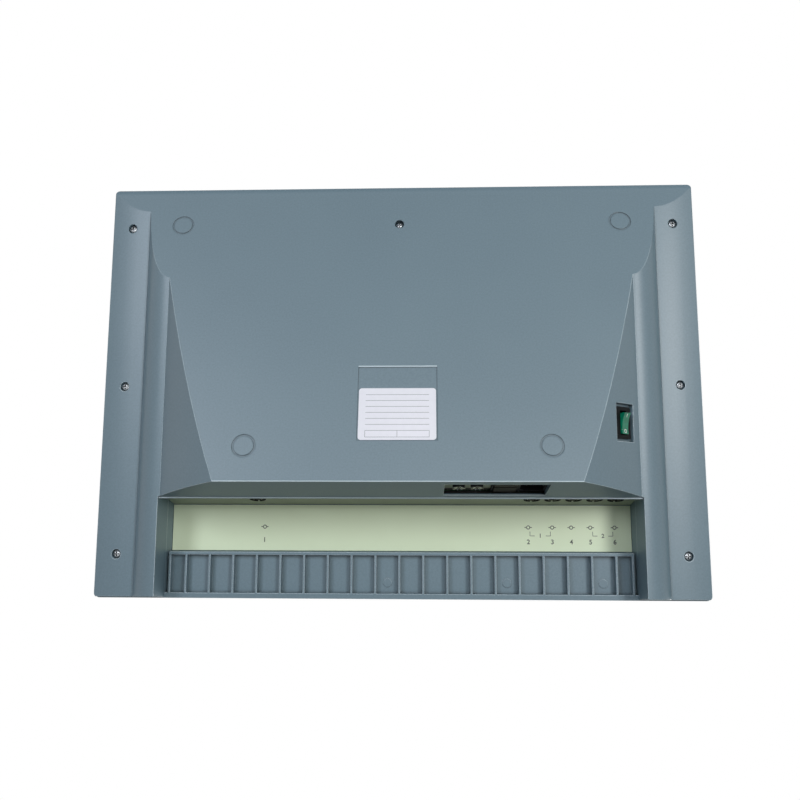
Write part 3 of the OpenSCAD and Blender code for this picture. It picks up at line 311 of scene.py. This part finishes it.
def green_with_painted_shade(name, node, direction, level, paint):
    """The satin paint on one part of a sheet, darkened by a tint where that is painted shade; the
    rest of the sheet is black painted shade.
    """
    made = satin_paint.copy()
    made.name = name
    tree = made.node_tree
    if direction == "Y":
        source = add(tree, "ShaderNodeNewGeometry").outputs["True Normal"]
    else:
        source = add(tree, "ShaderNodeTexCoord").outputs["Object"]
    split = add(tree, "ShaderNodeSeparateXYZ", {"Vector": source})
    coated = add(tree, "ShaderNodeMath", {0: split.outputs[direction], 1: level},
                 operation="GREATER_THAN" if direction == "Y" else "LESS_THAN")
    tint = add(tree, "ShaderNodeMix",
               {"Factor": 1.0, 6: tree.nodes[green.name].outputs[2], 7: colour(paint)},
               data_type="RGBA", blend_type="MULTIPLY")
    # Painted shade: the sheet is black outside its green part, and the tint darkens the green.
    paint_and_black_shade = add(tree, "ShaderNodeMix",
                   {"Factor": coated.outputs[0], 6: colour("#1c1e1e"), 7: tint.outputs[2]},
                   data_type="RGBA")
    painted = next(n for n in tree.nodes if n.bl_idname == "ShaderNodeBsdfPrincipled")
    tree.links.new(paint_and_black_shade.outputs[2], painted.inputs["Base Color"])
    dress(made, node)


# The socket panel's front face is green, darkened by a grey tint as painted shade, and its other
# faces are black painted shade. The connector plate is black above a set height, as painted shade
# seen through the window.
painted_shade_height = 33.3 * MM
green_with_painted_shade("green_paint_darkened_by_painted_shade", "socket_panel", "Y", 0.5, "#bcbcbc")
green_with_painted_shade("green_paint_with_black_painted_shade", "connector_plate", "Z", painted_shade_height, "#ffffff")

# The covers' parting plane slopes up to the back, and this frame lies in it: x across, y back
# along the slope, z off it. Its origin is the lower cover's front edge.
slope = math.radians(14)
cover_front = Vector((0, -141.036, 3.493)) * MM
PARTING = Matrix.Translation(cover_front) @ Matrix.Rotation(slope, 4, "X")

plate_face = 12.0
sockets_y = 244.2
numbers_y = 254.3
response_number_y = 253.4
bracket_y = 250.0
output_xs = [90.0, 106.7, 119.9, 133.2, 150.0]
response_mark_x = -95.8
plate_ink = ink("dark_green_grey_ink", "#2f3831", 0.45)
socket_strokes = []
socket_rings = []
for x in [response_mark_x, *output_xs]:
    socket_rings += [(x, -sockets_y, 1.4, 0.55)]
    socket_strokes += [(x + side * 2.0, -sockets_y, 1.1, 0.55) for side in (-1, 1)]
for left, right in ((91.2, 105.4), (134.8, 148.7)):
    socket_strokes += [(left, -(bracket_y - 1.5), 0.35, 3.0), (right, -(bracket_y - 1.5), 0.35, 3.0)]
    socket_strokes += [(left + 1.6, -bracket_y, 3.2, 0.35), (right - 1.6, -bracket_y, 3.2, 0.35)]
socket_figures = [("1", response_mark_x, -response_number_y, 3.2)]
socket_figures += [(str(i + 2), x, -numbers_y, 3.2) for i, x in enumerate(output_xs)]
socket_figures += [("1", 98.3, -bracket_y, 2.8), ("2", 141.8, -bracket_y, 2.8)]
plate_plane = PARTING @ Matrix.Translation((0, 0, plate_face * MM)) @ BASE_PLANE
printing("socket_plate_print", plate_plane, socket_strokes, socket_figures, plate_ink, "case",
         rings=socket_rings)

# Sockets and their nuts --------------------------------------------------------------------
# Six sockets of black glass-filled nylon stand in the painted panel behind the plate, held by
# black nylon nuts that are dull from the moulding.

nylon, tree, place = finish_tree("black_moulded_nylon")
flow = add(tree, "ShaderNodeTexNoise", {"Vector": place, "Scale": 1 / (0.8 * MM), "Detail": 4})
soot = add(tree, "ShaderNodeMix",
           {"Factor": flow.outputs["Fac"], 6: colour("#08090a"), 7: colour("#141617")},
           data_type="RGBA")
nylon_edge = add(tree, "ShaderNodeBevel", {"Radius": 0.25 * MM}, samples=4)
fibres = add(tree, "ShaderNodeBump",
             {"Height": flow.outputs["Fac"], "Strength": 0.2, "Distance": 0.04 * MM,
              "Normal": nylon_edge.outputs[0]})
cover(tree, add(tree, "ShaderNodeBsdfPrincipled",
                {"Base Color": soot.outputs[2], "Roughness": 0.55, "IOR": 1.53,
                 "Specular IOR Level": 0.08, "Normal": fibres.outputs[0]}))
dress(nylon, "audio_sockets", "audio_socket_nuts", "mains_inlet", "power_switch_body",
      "tact_switches", "monitor_speaker", "main_board_parts", "power_capacitors",
      "data_sockets")

# Mains inlet and data sockets --------------------------------------------------------------
# The fuse drawer is a brown-black phenolic, and the bodies are the sockets' black nylon. Pins,
# shafts, frames and the sockets' spring stars and sleeves are bright nickel-plated brass or steel.

phenolic, tree, place = finish_tree("brown_black_phenolic")
filler = add(tree, "ShaderNodeTexNoise", {"Vector": place, "Scale": 1 / (1.1 * MM), "Detail": 4})
brown = add(tree, "ShaderNodeMix",
            {"Factor": filler.outputs["Fac"], 6: colour("#0e0b09"), 7: colour("#17130f")},
            data_type="RGBA")
cover(tree, add(tree, "ShaderNodeBsdfPrincipled",
                {"Base Color": brown.outputs[2], "Roughness": 0.5, "IOR": 1.6,
                 "Specular IOR Level": 0.05}))
dress(phenolic, "fuse_drawer")

nickel, tree, place = finish_tree("bright_nickel_plate")
scratch = add(tree, "ShaderNodeTexNoise",
              {"Vector": place, "Scale": 1 / (0.6 * MM), "Detail": 3, "Distortion": 1.5})
polish = add(tree, "ShaderNodeMapRange",
             {"Value": scratch.outputs["Fac"], "To Min": 0.1, "To Max": 0.3})
silver = add(tree, "ShaderNodeMix",
             {"Factor": scratch.outputs["Fac"], 6: colour("#b9b7b0"), 7: colour("#dcdad4")},
             data_type="RGBA")
cover(tree, add(tree, "ShaderNodeBsdfPrincipled",
                {"Base Color": silver.outputs[2], "Metallic": 1.0,
                 "Roughness": polish.outputs[0]}))
dress(nickel, "inlet_pins", "left_encoder", "right_encoder", "left_dial_shaft",
      "right_dial_shaft", "display_frame")


def nickel_piece(name, turned, middles):
    """A piece drawn about the Y axis, set round each middle, in bright nickel."""
    mesh = bpy.data.meshes.new(name)
    layer = bmesh.new()
    for middle in middles:
        for verts, faces in turned:
            made = [layer.verts.new(Vector(v) * MM + middle) for v in verts]
            for face in faces:
                layer.faces.new([made[i] for i in face])
    bmesh.ops.recalc_face_normals(layer, faces=layer.faces)
    layer.to_mesh(mesh)
    layer.free()
    mesh.materials.append(nickel)
    piece = bpy.data.objects.new(name, mesh)
    bpy.context.scene.collection.objects.link(piece)
    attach(piece, "case")


def sleeve(outer, inner, low, high, steps=32):
    """A short tube about the Y axis."""
    verts = [(r * math.cos(i * math.tau / steps), y, r * math.sin(i * math.tau / steps))
             for r, y in ((outer, low), (outer, high), (inner, high), (inner, low))
             for i in range(steps)]
    faces = [(ring * steps + i, ring * steps + (i + 1) % steps,
              (ring + 1) % 4 * steps + (i + 1) % steps, (ring + 1) % 4 * steps + i)
             for ring in range(4) for i in range(steps)]
    return verts, faces


def finger(angle, root, tip, root_w, tip_w, low, lift, thick):
    """One tapered spring finger of a star-shaped contact ring, its tip lifted."""
    out = (math.cos(angle), math.sin(angle))
    side = (-out[1], out[0])
    verts = []
    for r, w, y in ((root, root_w, low), (tip, tip_w, low + lift)):
        for turn in (-1, 1):
            for up in (0, thick):
                verts.append((out[0] * r + side[0] * turn * w / 2, y + up,
                              out[1] * r + side[1] * turn * w / 2))
    return verts, [(0, 1, 3, 2), (4, 6, 7, 5), (0, 4, 5, 1), (2, 3, 7, 6), (1, 5, 7, 3), (0, 2, 6, 4)]


data_low, data_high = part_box("data_sockets")
data_z = (data_low.z + data_high.z) / 2
data_pitch = 11.6
data_middle_x = (data_low.x + data_high.x) / 2
data_middles = [Vector((data_middle_x + side * data_pitch / 2 * MM, data_high.y, data_z))
                for side in (-1, 1)]
star = [finger(i * math.tau / 8 + 0.2, root=1.8, tip=4.4, root_w=0.9, tip_w=0.35,
               low=0.0, lift=0.5, thick=0.2) for i in range(8)]
data_sleeve = sleeve(outer=2.0, inner=1.65, low=-1.0, high=0.3)
nickel_piece("data_socket_stars", [data_sleeve, *star], data_middles)

nuts_low, nuts_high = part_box("audio_socket_nuts")
nut_r = 5.6
socket_z = (nuts_low.z + nuts_high.z) / 2
response_x = nuts_low.x + nut_r * MM
last_x = nuts_high.x - nut_r * MM
socket_pitch = 14.1 * MM
socket_front = nuts_low.y + 1.2 * MM
socket_middles = [Vector((x, socket_front, socket_z))
                  for x in [response_x, *[last_x - i * socket_pitch for i in range(5)]]]
audio_sleeve = sleeve(outer=3.2, inner=2.95, low=-1.5, high=0.25)
nickel_piece("socket_sleeves", [audio_sleeve], socket_middles)

# Screws --------------------------------------------------------------------------------------
# Cross-headed self-tapping screws in zinc-plated steel, passivated clear: a blue-white
# metal with a slightly cloudy shine, and painted shade that darkens the cross.

zinc, tree, place = finish_tree("clear_zinc_plate")
spangle = add(tree, "ShaderNodeTexVoronoi", {"Vector": place, "Scale": 1 / (0.9 * MM)})
bloom = add(tree, "ShaderNodeMapRange",
            {"Value": spangle.outputs["Distance"], "To Min": 0.26, "To Max": 0.44})
blue_white = add(tree, "ShaderNodeMix",
                 {"Factor": spangle.outputs["Distance"], 6: colour("#b9bdc0"),
                  7: colour("#989da1")}, data_type="RGBA")
# Painted shade: the cross and other hollows are darkened by their short-range occlusion.
hollow = add(tree, "ShaderNodeAmbientOcclusion", {"Distance": 1.2 * MM}, samples=6,
             only_local=True)
recess = add(tree, "ShaderNodeMapRange",
             {"Value": hollow.outputs["AO"], "From Min": 0.92, "From Max": 0.55})
cross_shaded = add(tree, "ShaderNodeMix",
              {"Factor": recess.outputs[0], 6: blue_white.outputs[2], 7: colour("#2b2a2b")},
              data_type="RGBA")
soft_edge = add(tree, "ShaderNodeBevel", {"Radius": 0.25 * MM}, samples=4)
cover(tree, add(tree, "ShaderNodeBsdfPrincipled",
                {"Base Color": cross_shaded.outputs[2], "Metallic": 1.0,
                 "Roughness": bloom.outputs[0], "Normal": soft_edge.outputs[0]}))
dress(zinc, "case_screws", "board_screws")

# The front screw's hole is deeper than the others, so a copy of its head stands outside the
# solid's head, where light reaches it.
screw_seat, head_height, front_screw_y, head_reach = 4.2 * MM, 2.2 * MM, 30.3 * MM, 3.2 * MM
to_parting = PARTING.inverted()
head = bmesh.new()
head.from_mesh(frame["nodes"]["case_screws"].data)
beyond = []
for vert in head.verts:
    local = to_parting @ vert.co - Vector((0, front_screw_y, -screw_seat))
    if local.xy.length > head_reach or local.z > 0.02 * MM:
        beyond.append(vert)
bmesh.ops.delete(head, geom=beyond, context="VERTS")
bmesh.ops.holes_fill(head, edges=[e for e in head.edges if e.is_boundary])
outwards = to_parting.inverted().to_3x3() @ Vector((0, 0, -head_height))
bmesh.ops.translate(head, verts=head.verts, vec=outwards)
head_mesh = bpy.data.meshes.new("front_screw_head")
head.to_mesh(head_mesh)
head.free()
head_mesh.materials.clear()
head_mesh.materials.append(zinc)
front_head = bpy.data.objects.new("front_screw_head", head_mesh)
bpy.context.scene.collection.objects.link(front_head)
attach(front_head, "case")

# Power switch ----------------------------------------------------------------------------------
# The rocker is a translucent green polycarbonate cap with I and O hot-stamped in white on its
# two ends, and tin-plated brass blades stand behind its black body.

green_glow, tree, place = finish_tree("translucent_green_polycarbonate")
depth = add(tree, "ShaderNodeTexNoise", {"Vector": place, "Scale": 1 / (4 * MM), "Detail": 2})
emerald = add(tree, "ShaderNodeMix",
              {"Factor": depth.outputs["Fac"], 6: colour("#02614a"), 7: colour("#088c66")},
              data_type="RGBA")
cap_edge = add(tree, "ShaderNodeBevel", {"Radius": 0.4 * MM}, samples=4)
cover(tree, add(tree, "ShaderNodeBsdfPrincipled",
                {"Base Color": emerald.outputs[2], "Roughness": 0.16, "IOR": 1.585,
                 "Specular IOR Level": 0.3, "Subsurface Weight": 0.1, "Subsurface Scale": 1.5 * MM,
                 "Normal": cap_edge.outputs[0]}))
dress(green_glow, "power_rocker")

brass, tree, place = finish_tree("tin_plated_brass")
tarnish = add(tree, "ShaderNodeTexNoise", {"Vector": place, "Scale": 1 / (1.5 * MM), "Detail": 3})
warm = add(tree, "ShaderNodeMix",
           {"Factor": tarnish.outputs["Fac"], 6: colour("#b59a5c"), 7: colour("#cbb98a")},
           data_type="RGBA")
cover(tree, add(tree, "ShaderNodeBsdfPrincipled",
                {"Base Color": warm.outputs[2], "Metallic": 1.0, "Roughness": 0.3}))
dress(brass, "switch_terminals")

hinge = next(j for j in frame["joints"] if j["name"] == "power_rocker_tilt")
lean = math.radians(9)
across = -Vector(hinge["axis"]).normalized()
along = Vector((0, math.cos(slope), math.sin(slope)))
outward = across.cross(along)
if outward.z > 0:
    across.negate()
    outward.negate()
rocker_face = Matrix((across, along, outward)).transposed().to_4x4()
rocker_face.translation = Vector(hinge["pos_m"])
white_foil = ink("white_hot_foil", "#e6ece6", 0.35)
face_middle, face_end = 3.4, 4.2  # heights of the dished face over the hinge, halfway and at its ends
half_way, end_way = 3.5, 7.0
face_lean = math.atan2(face_end - face_middle, end_way - half_way)
for name, side, figure in (("rocker_mark_on", -1, "I"), ("rocker_mark_off", 1, "O")):
    reach = 5.1
    level = face_middle + (reach - half_way) * math.tan(face_lean)
    mark = (rocker_face @ Matrix.Rotation(-lean, 4, "X")
            @ Matrix.Translation((0, side * reach * MM, level * MM))
            @ Matrix.Rotation(side * face_lean, 4, "X") @ Matrix.Rotation(math.pi, 4, "Z"))
    strokes = [(0, 0, 0.55, 2.4)] if figure == "I" else []
    rings = [(0, 0, 1.3, 0.45)] if figure == "O" else []
    printing(name, mark, strokes, [], white_foil, "power_rocker", rings=rings)

# Control panel overlay -------------------------------------------------------------------------
# A reverse-printed polycarbonate film on the top cover, textured on its upper face to kill
# glare. It has a frame round the keys and a ring of numbers round each dial.

overlay_film, tree, place = finish_tree("textured_polycarbonate_film")
velvet = add(tree, "ShaderNodeTexNoise", {"Vector": place, "Scale": 1 / (0.9 * MM), "Detail": 2})
backing = add(tree, "ShaderNodeMix",
              {"Factor": velvet.outputs["Fac"], 6: colour("#546770"), 7: colour("#60737e")},
              data_type="RGBA")
texture = add(tree, "ShaderNodeBump",
              {"Height": velvet.outputs["Fac"], "Strength": 0.3, "Distance": 0.03 * MM})
cover(tree, add(tree, "ShaderNodeBsdfPrincipled",
                {"Base Color": backing.outputs[2], "Roughness": 0.42, "IOR": 1.585,
                 "Normal": texture.outputs[0]}))
dress(overlay_film, "panel_overlay")

panel_top = 16.0
dial_x, dial_y = 140.0, 100.0
key_pitch_x, key_pitch_y, key_back_y = 33.0, 26.0, 124.0
scale_r, figure_h, key_number_gap = 31, 2.6, 9.5
PANEL = PARTING @ Matrix.Translation((0, 0, panel_top * MM))
panel_ink = ink("pale_grey_ink", "#d5dcda", 0.45)
panel_strokes = []
panel_figures = []
for side in (-1, 1):
    for step in range(11):
        angle = math.radians(225 - 27 * step)
        panel_figures.append((str(step * 10), side * dial_x + scale_r * math.cos(angle),
                              dial_y + scale_r * math.sin(angle), figure_h))
for key in range(10):
    x = (key % 5 - 2) * key_pitch_x
    y = key_back_y - (key // 5) * key_pitch_y
    panel_figures.append((str(key + 1), x, y + key_number_gap, figure_h))
frame_w, frame_d, frame_y = 172, 62, 112
for side in (-1, 1):
    panel_strokes += [(0, frame_y + side * frame_d / 2, frame_w, 0.6),
                      (side * frame_w / 2, frame_y, 0.6, frame_d + 0.6)]
printing("panel_print", PANEL, panel_strokes, panel_figures, panel_ink, "case")

# Keys and tone bars ----------------------------------------------------------------------------
# Light grey ABS caps with a fine grain and softly rounded rims. They are moulded like the
# case, in one even satin finish.

cap_abs, tree, place = finish_tree("light_grey_cap_abs")
caps = add(tree, "ShaderNodeTexNoise", {"Vector": place, "Scale": 1 / (0.9 * MM), "Detail": 3})
cap_grey = add(tree, "ShaderNodeMix",
               {"Factor": caps.outputs["Fac"], 6: colour("#c9cdc9"), 7: colour("#d9dcd8")},
               data_type="RGBA")
cap_round = add(tree, "ShaderNodeBevel", {"Radius": 0.5 * MM}, samples=4)
cap_grain = add(tree, "ShaderNodeBump",
                {"Height": caps.outputs["Fac"], "Strength": 0.25, "Distance": 0.03 * MM,
                 "Normal": cap_round.outputs[0]})
cover(tree, add(tree, "ShaderNodeBsdfPrincipled",
                {"Base Color": cap_grey.outputs[2], "Roughness": 0.45, "IOR": 1.54,
                 "Normal": cap_grain.outputs[0]}))
dress(cap_abs, "left_tone_bar", "right_tone_bar", *[f"key_{i}" for i in range(1, 11)])

# Dials -------------------------------------------------------------------------------------------
# Fluted knobs of black ABS with a turned skirt, and a white line filled into the slot on top.

knob_abs, tree, place = finish_tree("black_knob_abs")
knob_grain = add(tree, "ShaderNodeTexNoise",
                 {"Vector": place, "Scale": 1 / (0.7 * MM), "Detail": 3})
knob_black = add(tree, "ShaderNodeMix",
                 {"Factor": knob_grain.outputs["Fac"], 6: colour("#1b1d1f"),
                  7: colour("#2a2d2f")}, data_type="RGBA")
knob_round = add(tree, "ShaderNodeBevel", {"Radius": 0.4 * MM}, samples=4)
knob_bump = add(tree, "ShaderNodeBump",
                {"Height": knob_grain.outputs["Fac"], "Strength": 0.3, "Distance": 0.04 * MM,
                 "Normal": knob_round.outputs[0]})
cover(tree, add(tree, "ShaderNodeBsdfPrincipled",
                {"Base Color": knob_black.outputs[2], "Roughness": 0.42, "IOR": 1.54,
                 "Normal": knob_bump.outputs[0]}))
dress(knob_abs, "left_dial", "right_dial")

slot_floor, slot_y, slot_w, slot_l, filling = 30.2, 11.02, 1.5, 7.6, 0.5
white_filling = ink("white_filling_paint", "#e4e8e6", 0.4)
for side, dial in ((-1, "left_dial"), (1, "right_dial")):
    slot = PARTING @ Matrix.Translation(
        Vector((side * dial_x, dial_y + slot_y, slot_floor + filling / 2)) * MM)
    printing(f"{dial}_line", slot, [(0, 0, slot_w, slot_l)], [], white_filling, dial,
             film=filling * MM)

# Lamps and display -----------------------------------------------------------------------------
# Three tinted epoxy lamps stand above the keys. The display is a liquid-crystal cell behind
# a clear acrylic lens.

epoxy, tree, place = finish_tree("tinted_lamp_epoxy")
die = add(tree, "ShaderNodeTexNoise", {"Vector": place, "Scale": 1 / (2 * MM), "Detail": 1})
lamp_green = add(tree, "ShaderNodeMix",
                 {"Factor": die.outputs["Fac"], 6: colour("#3f9a4d"), 7: colour("#62bf6c")},
                 data_type="RGBA")
cover(tree, add(tree, "ShaderNodeBsdfPrincipled",
                {"Base Color": lamp_green.outputs[2], "Roughness": 0.15, "IOR": 1.55,
                 "Subsurface Weight": 0.3, "Subsurface Scale": 1 * MM}))
dress(epoxy, "indicator_lamps")

acrylic, tree, place = finish_tree("clear_acrylic_lens")
smear = add(tree, "ShaderNodeTexNoise", {"Vector": place, "Scale": 1 / (25 * MM), "Detail": 3})
clean = add(tree, "ShaderNodeMapRange",
            {"Value": smear.outputs["Fac"], "To Min": 0.02, "To Max": 0.09})
cover(tree, add(tree, "ShaderNodeBsdfPrincipled",
                {"Base Color": colour("#e9efec"), "Roughness": clean.outputs[0], "IOR": 1.49,
                 "Transmission Weight": 0.95}))
dress(acrylic, "display_lens")

crystal, tree, place = finish_tree("liquid_crystal_cell")
polariser = add(tree, "ShaderNodeTexNoise", {"Vector": place, "Scale": 1 / (30 * MM), "Detail": 2})
olive = add(tree, "ShaderNodeMix",
            {"Factor": polariser.outputs["Fac"], 6: colour("#7d9474"), 7: colour("#8ca383")},
            data_type="RGBA")
cover(tree, add(tree, "ShaderNodeBsdfPrincipled",
                {"Base Color": olive.outputs[2], "Roughness": 0.2, "IOR": 1.52}))
dress(crystal, "display_glass")

# Boards and what stands on them ------------------------------------------------------------------
# Glass-epoxy boards under green solder resist, a ferrite transformer, an extruded heat sink
# and a grey ribbon cable. The closed case hides all of them.

resist, tree, place = finish_tree("green_solder_resist")
weave = add(tree, "ShaderNodeTexBrick",
            {"Vector": place, "Scale": 1 / (9 * MM), "Color1": colour("#1f5c38"),
             "Color2": colour("#24683f"), "Mortar": colour("#3d8a55"), "Mortar Size": 0.06})
cover(tree, add(tree, "ShaderNodeBsdfPrincipled",
                {"Base Color": weave.outputs["Color"], "Roughness": 0.3, "IOR": 1.55}))
dress(resist, "control_board", "display_board", "main_board", "power_board")

core, tree, place = finish_tree("ferrite_and_tape")
banding = add(tree, "ShaderNodeTexNoise", {"Vector": place, "Scale": 1 / (2 * MM), "Detail": 2})
tape = add(tree, "ShaderNodeMix",
           {"Factor": banding.outputs["Fac"], 6: colour("#4a4436"), 7: colour("#8f7a3a")},
           data_type="RGBA")
cover(tree, add(tree, "ShaderNodeBsdfPrincipled",
                {"Base Color": tape.outputs[2], "Roughness": 0.5, "IOR": 1.5}))
dress(core, "power_transformer")

extrusion, tree, place = finish_tree("extruded_aluminium")
drawn = add(tree, "ShaderNodeTexNoise", {"Vector": place, "Scale": 1 / (1 * MM), "Detail": 2})
die_lines = add(tree, "ShaderNodeMapRange",
                {"Value": drawn.outputs["Fac"], "To Min": 0.3, "To Max": 0.5})
cover(tree, add(tree, "ShaderNodeBsdfPrincipled",
                {"Base Color": colour("#c3c5c6"), "Metallic": 1.0,
                 "Roughness": die_lines.outputs[0]}))
dress(extrusion, "power_heat_sink")

vinyl, tree, place = finish_tree("grey_ribbon_vinyl")
lane = add(tree, "ShaderNodeTexWave", {"Vector": place, "Scale": 1 / (1.27 * 6.3 * MM)},
           bands_direction="X")
lanes = add(tree, "ShaderNodeMix",
            {"Factor": lane.outputs["Fac"], 6: colour("#868c8f"), 7: colour("#a3a9ac")},
            data_type="RGBA")
cover(tree, add(tree, "ShaderNodeBsdfPrincipled",
                {"Base Color": lanes.outputs[2], "Roughness": 0.45, "IOR": 1.53}))
dress(vinyl, "ribbon_cable")

# Floor, lights and camera --------------------------------------------------------------------------
# The part stands on its base on a pale floor that fades to white, and that shows only from
# above, because the photograph looks at the underside. Three soft lamps stand under it, as wide
# apart as the wings' sheen asks, and two broad ones hang over it.

sheet = bmesh.new()
bmesh.ops.create_circle(sheet, cap_ends=True, segments=96, radius=3)
floor_mesh = bpy.data.meshes.new("floor")
sheet.to_mesh(floor_mesh)
sheet.free()
floor = bpy.data.objects.new("floor", floor_mesh)
floor.location.z = -0.2 * MM
bpy.context.scene.collection.objects.link(floor)
studio, tree, place = finish_tree("pale_studio_floor")
ray = add(tree, "ShaderNodeLightPath")
side_seen = add(tree, "ShaderNodeNewGeometry")
above = add(tree, "ShaderNodeMath", {0: 1.0, 1: side_seen.outputs["Backfacing"]},
            operation="SUBTRACT")
shown = add(tree, "ShaderNodeMath",
            {0: ray.outputs["Is Camera Ray"], 1: above.outputs[0]}, operation="MULTIPLY")
paper = add(tree, "ShaderNodeBsdfDiffuse", {"Color": colour("#ececec")})
away = add(tree, "ShaderNodeVectorMath", {0: place}, operation="LENGTH")
fade_from, fade_to = 0.35, 1.3
fade = add(tree, "ShaderNodeMapRange",
           {"Value": away.outputs["Value"], "From Min": fade_from, "From Max": fade_to},
           interpolation_type="SMOOTHSTEP")
sweep = add(tree, "ShaderNodeEmission", {"Color": colour("#ffffff"), "Strength": 1.0})
ground = add(tree, "ShaderNodeMixShader",
             {0: fade.outputs[0], 1: paper.outputs[0], 2: sweep.outputs[0]})
clear = add(tree, "ShaderNodeBsdfTransparent")
cover(tree, add(tree, "ShaderNodeMixShader",
                {0: shown.outputs[0], 1: clear.outputs[0], 2: ground.outputs[0]}))
floor_mesh.materials.append(studio)


def soft_lamp(name, spot, width, depth, power, tint="#ffffff"):
    """An oblong area lamp that faces the part, its width across the room."""
    data = bpy.data.lights.new(name, "AREA")
    data.shape = "RECTANGLE"
    data.size = width
    data.size_y = depth
    data.energy = power
    data.color = colour(tint)[:3]
    lamp = bpy.data.objects.new(name, data)
    lamp.location = spot
    lamp.rotation_euler = Vector(spot).to_track_quat("Z", "Y").to_euler()
    bpy.context.scene.collection.objects.link(lamp)


soft_lamp("under_left", (-0.76, -0.18, -1.3), width=0.7, depth=0.35, power=7.9, tint="#eef3ff")
soft_lamp("under_middle", (0.12, -0.14, -1.45), width=0.7, depth=0.35, power=3.0)
soft_lamp("under_right", (0.85, 0.06, -1.3), width=0.7, depth=0.35, power=12.2)
soft_lamp("over_key", (-0.9, -1.1, 1.6), width=1.2, depth=1.2, power=30)
soft_lamp("over_fill", (1.2, 0.6, 1.3), width=1.0, depth=1.0, power=12)

world = bpy.data.worlds.new("white_studio")
bpy.context.scene.world = world
world.use_nodes = True
world.node_tree.nodes.clear()
tree = world.node_tree
sight = add(tree, "ShaderNodeLightPath")
mirrored = add(tree, "ShaderNodeMath",
               {0: sight.outputs["Is Glossy Ray"], 1: sight.outputs["Is Transmission Ray"]},
               operation="MAXIMUM")
bright = add(tree, "ShaderNodeMath",
             {0: mirrored.outputs[0], 1: sight.outputs["Is Camera Ray"]}, operation="MAXIMUM")
ambient = add(tree, "ShaderNodeBackground", {"Color": colour("#ffffff"), "Strength": 0.1})
backdrop = add(tree, "ShaderNodeBackground", {"Color": colour("#ffffff"), "Strength": 1.0})
sky = add(tree, "ShaderNodeMixShader",
          {0: bright.outputs[0], 1: ambient.outputs[0], 2: backdrop.outputs[0]})
add(tree, "ShaderNodeOutputWorld", {"Surface": sky.outputs[0]})

lens_mm = 33.733
sensor_mm = 36
camera_place = Vector((17.717, 205.632, -449.828)) * MM
aim = Vector((1.735, 26.127, 0)) * MM
roll = math.radians(175.142)
view = bpy.data.cameras.new("photo_camera")
view.lens = lens_mm
view.sensor_width = sensor_mm
view.clip_start = 0.01
camera = bpy.data.objects.new("photo_camera", view)
camera.location = camera_place
camera.rotation_mode = "QUATERNION"
look = (aim - camera_place).to_track_quat("-Z", "Y")
camera.rotation_quaternion = look @ Matrix.Rotation(roll, 4, "Z").to_quaternion()
bpy.context.scene.collection.objects.link(camera)
bpy.context.scene.camera = camera
bpy.context.scene.view_settings.view_transform = "Standard"
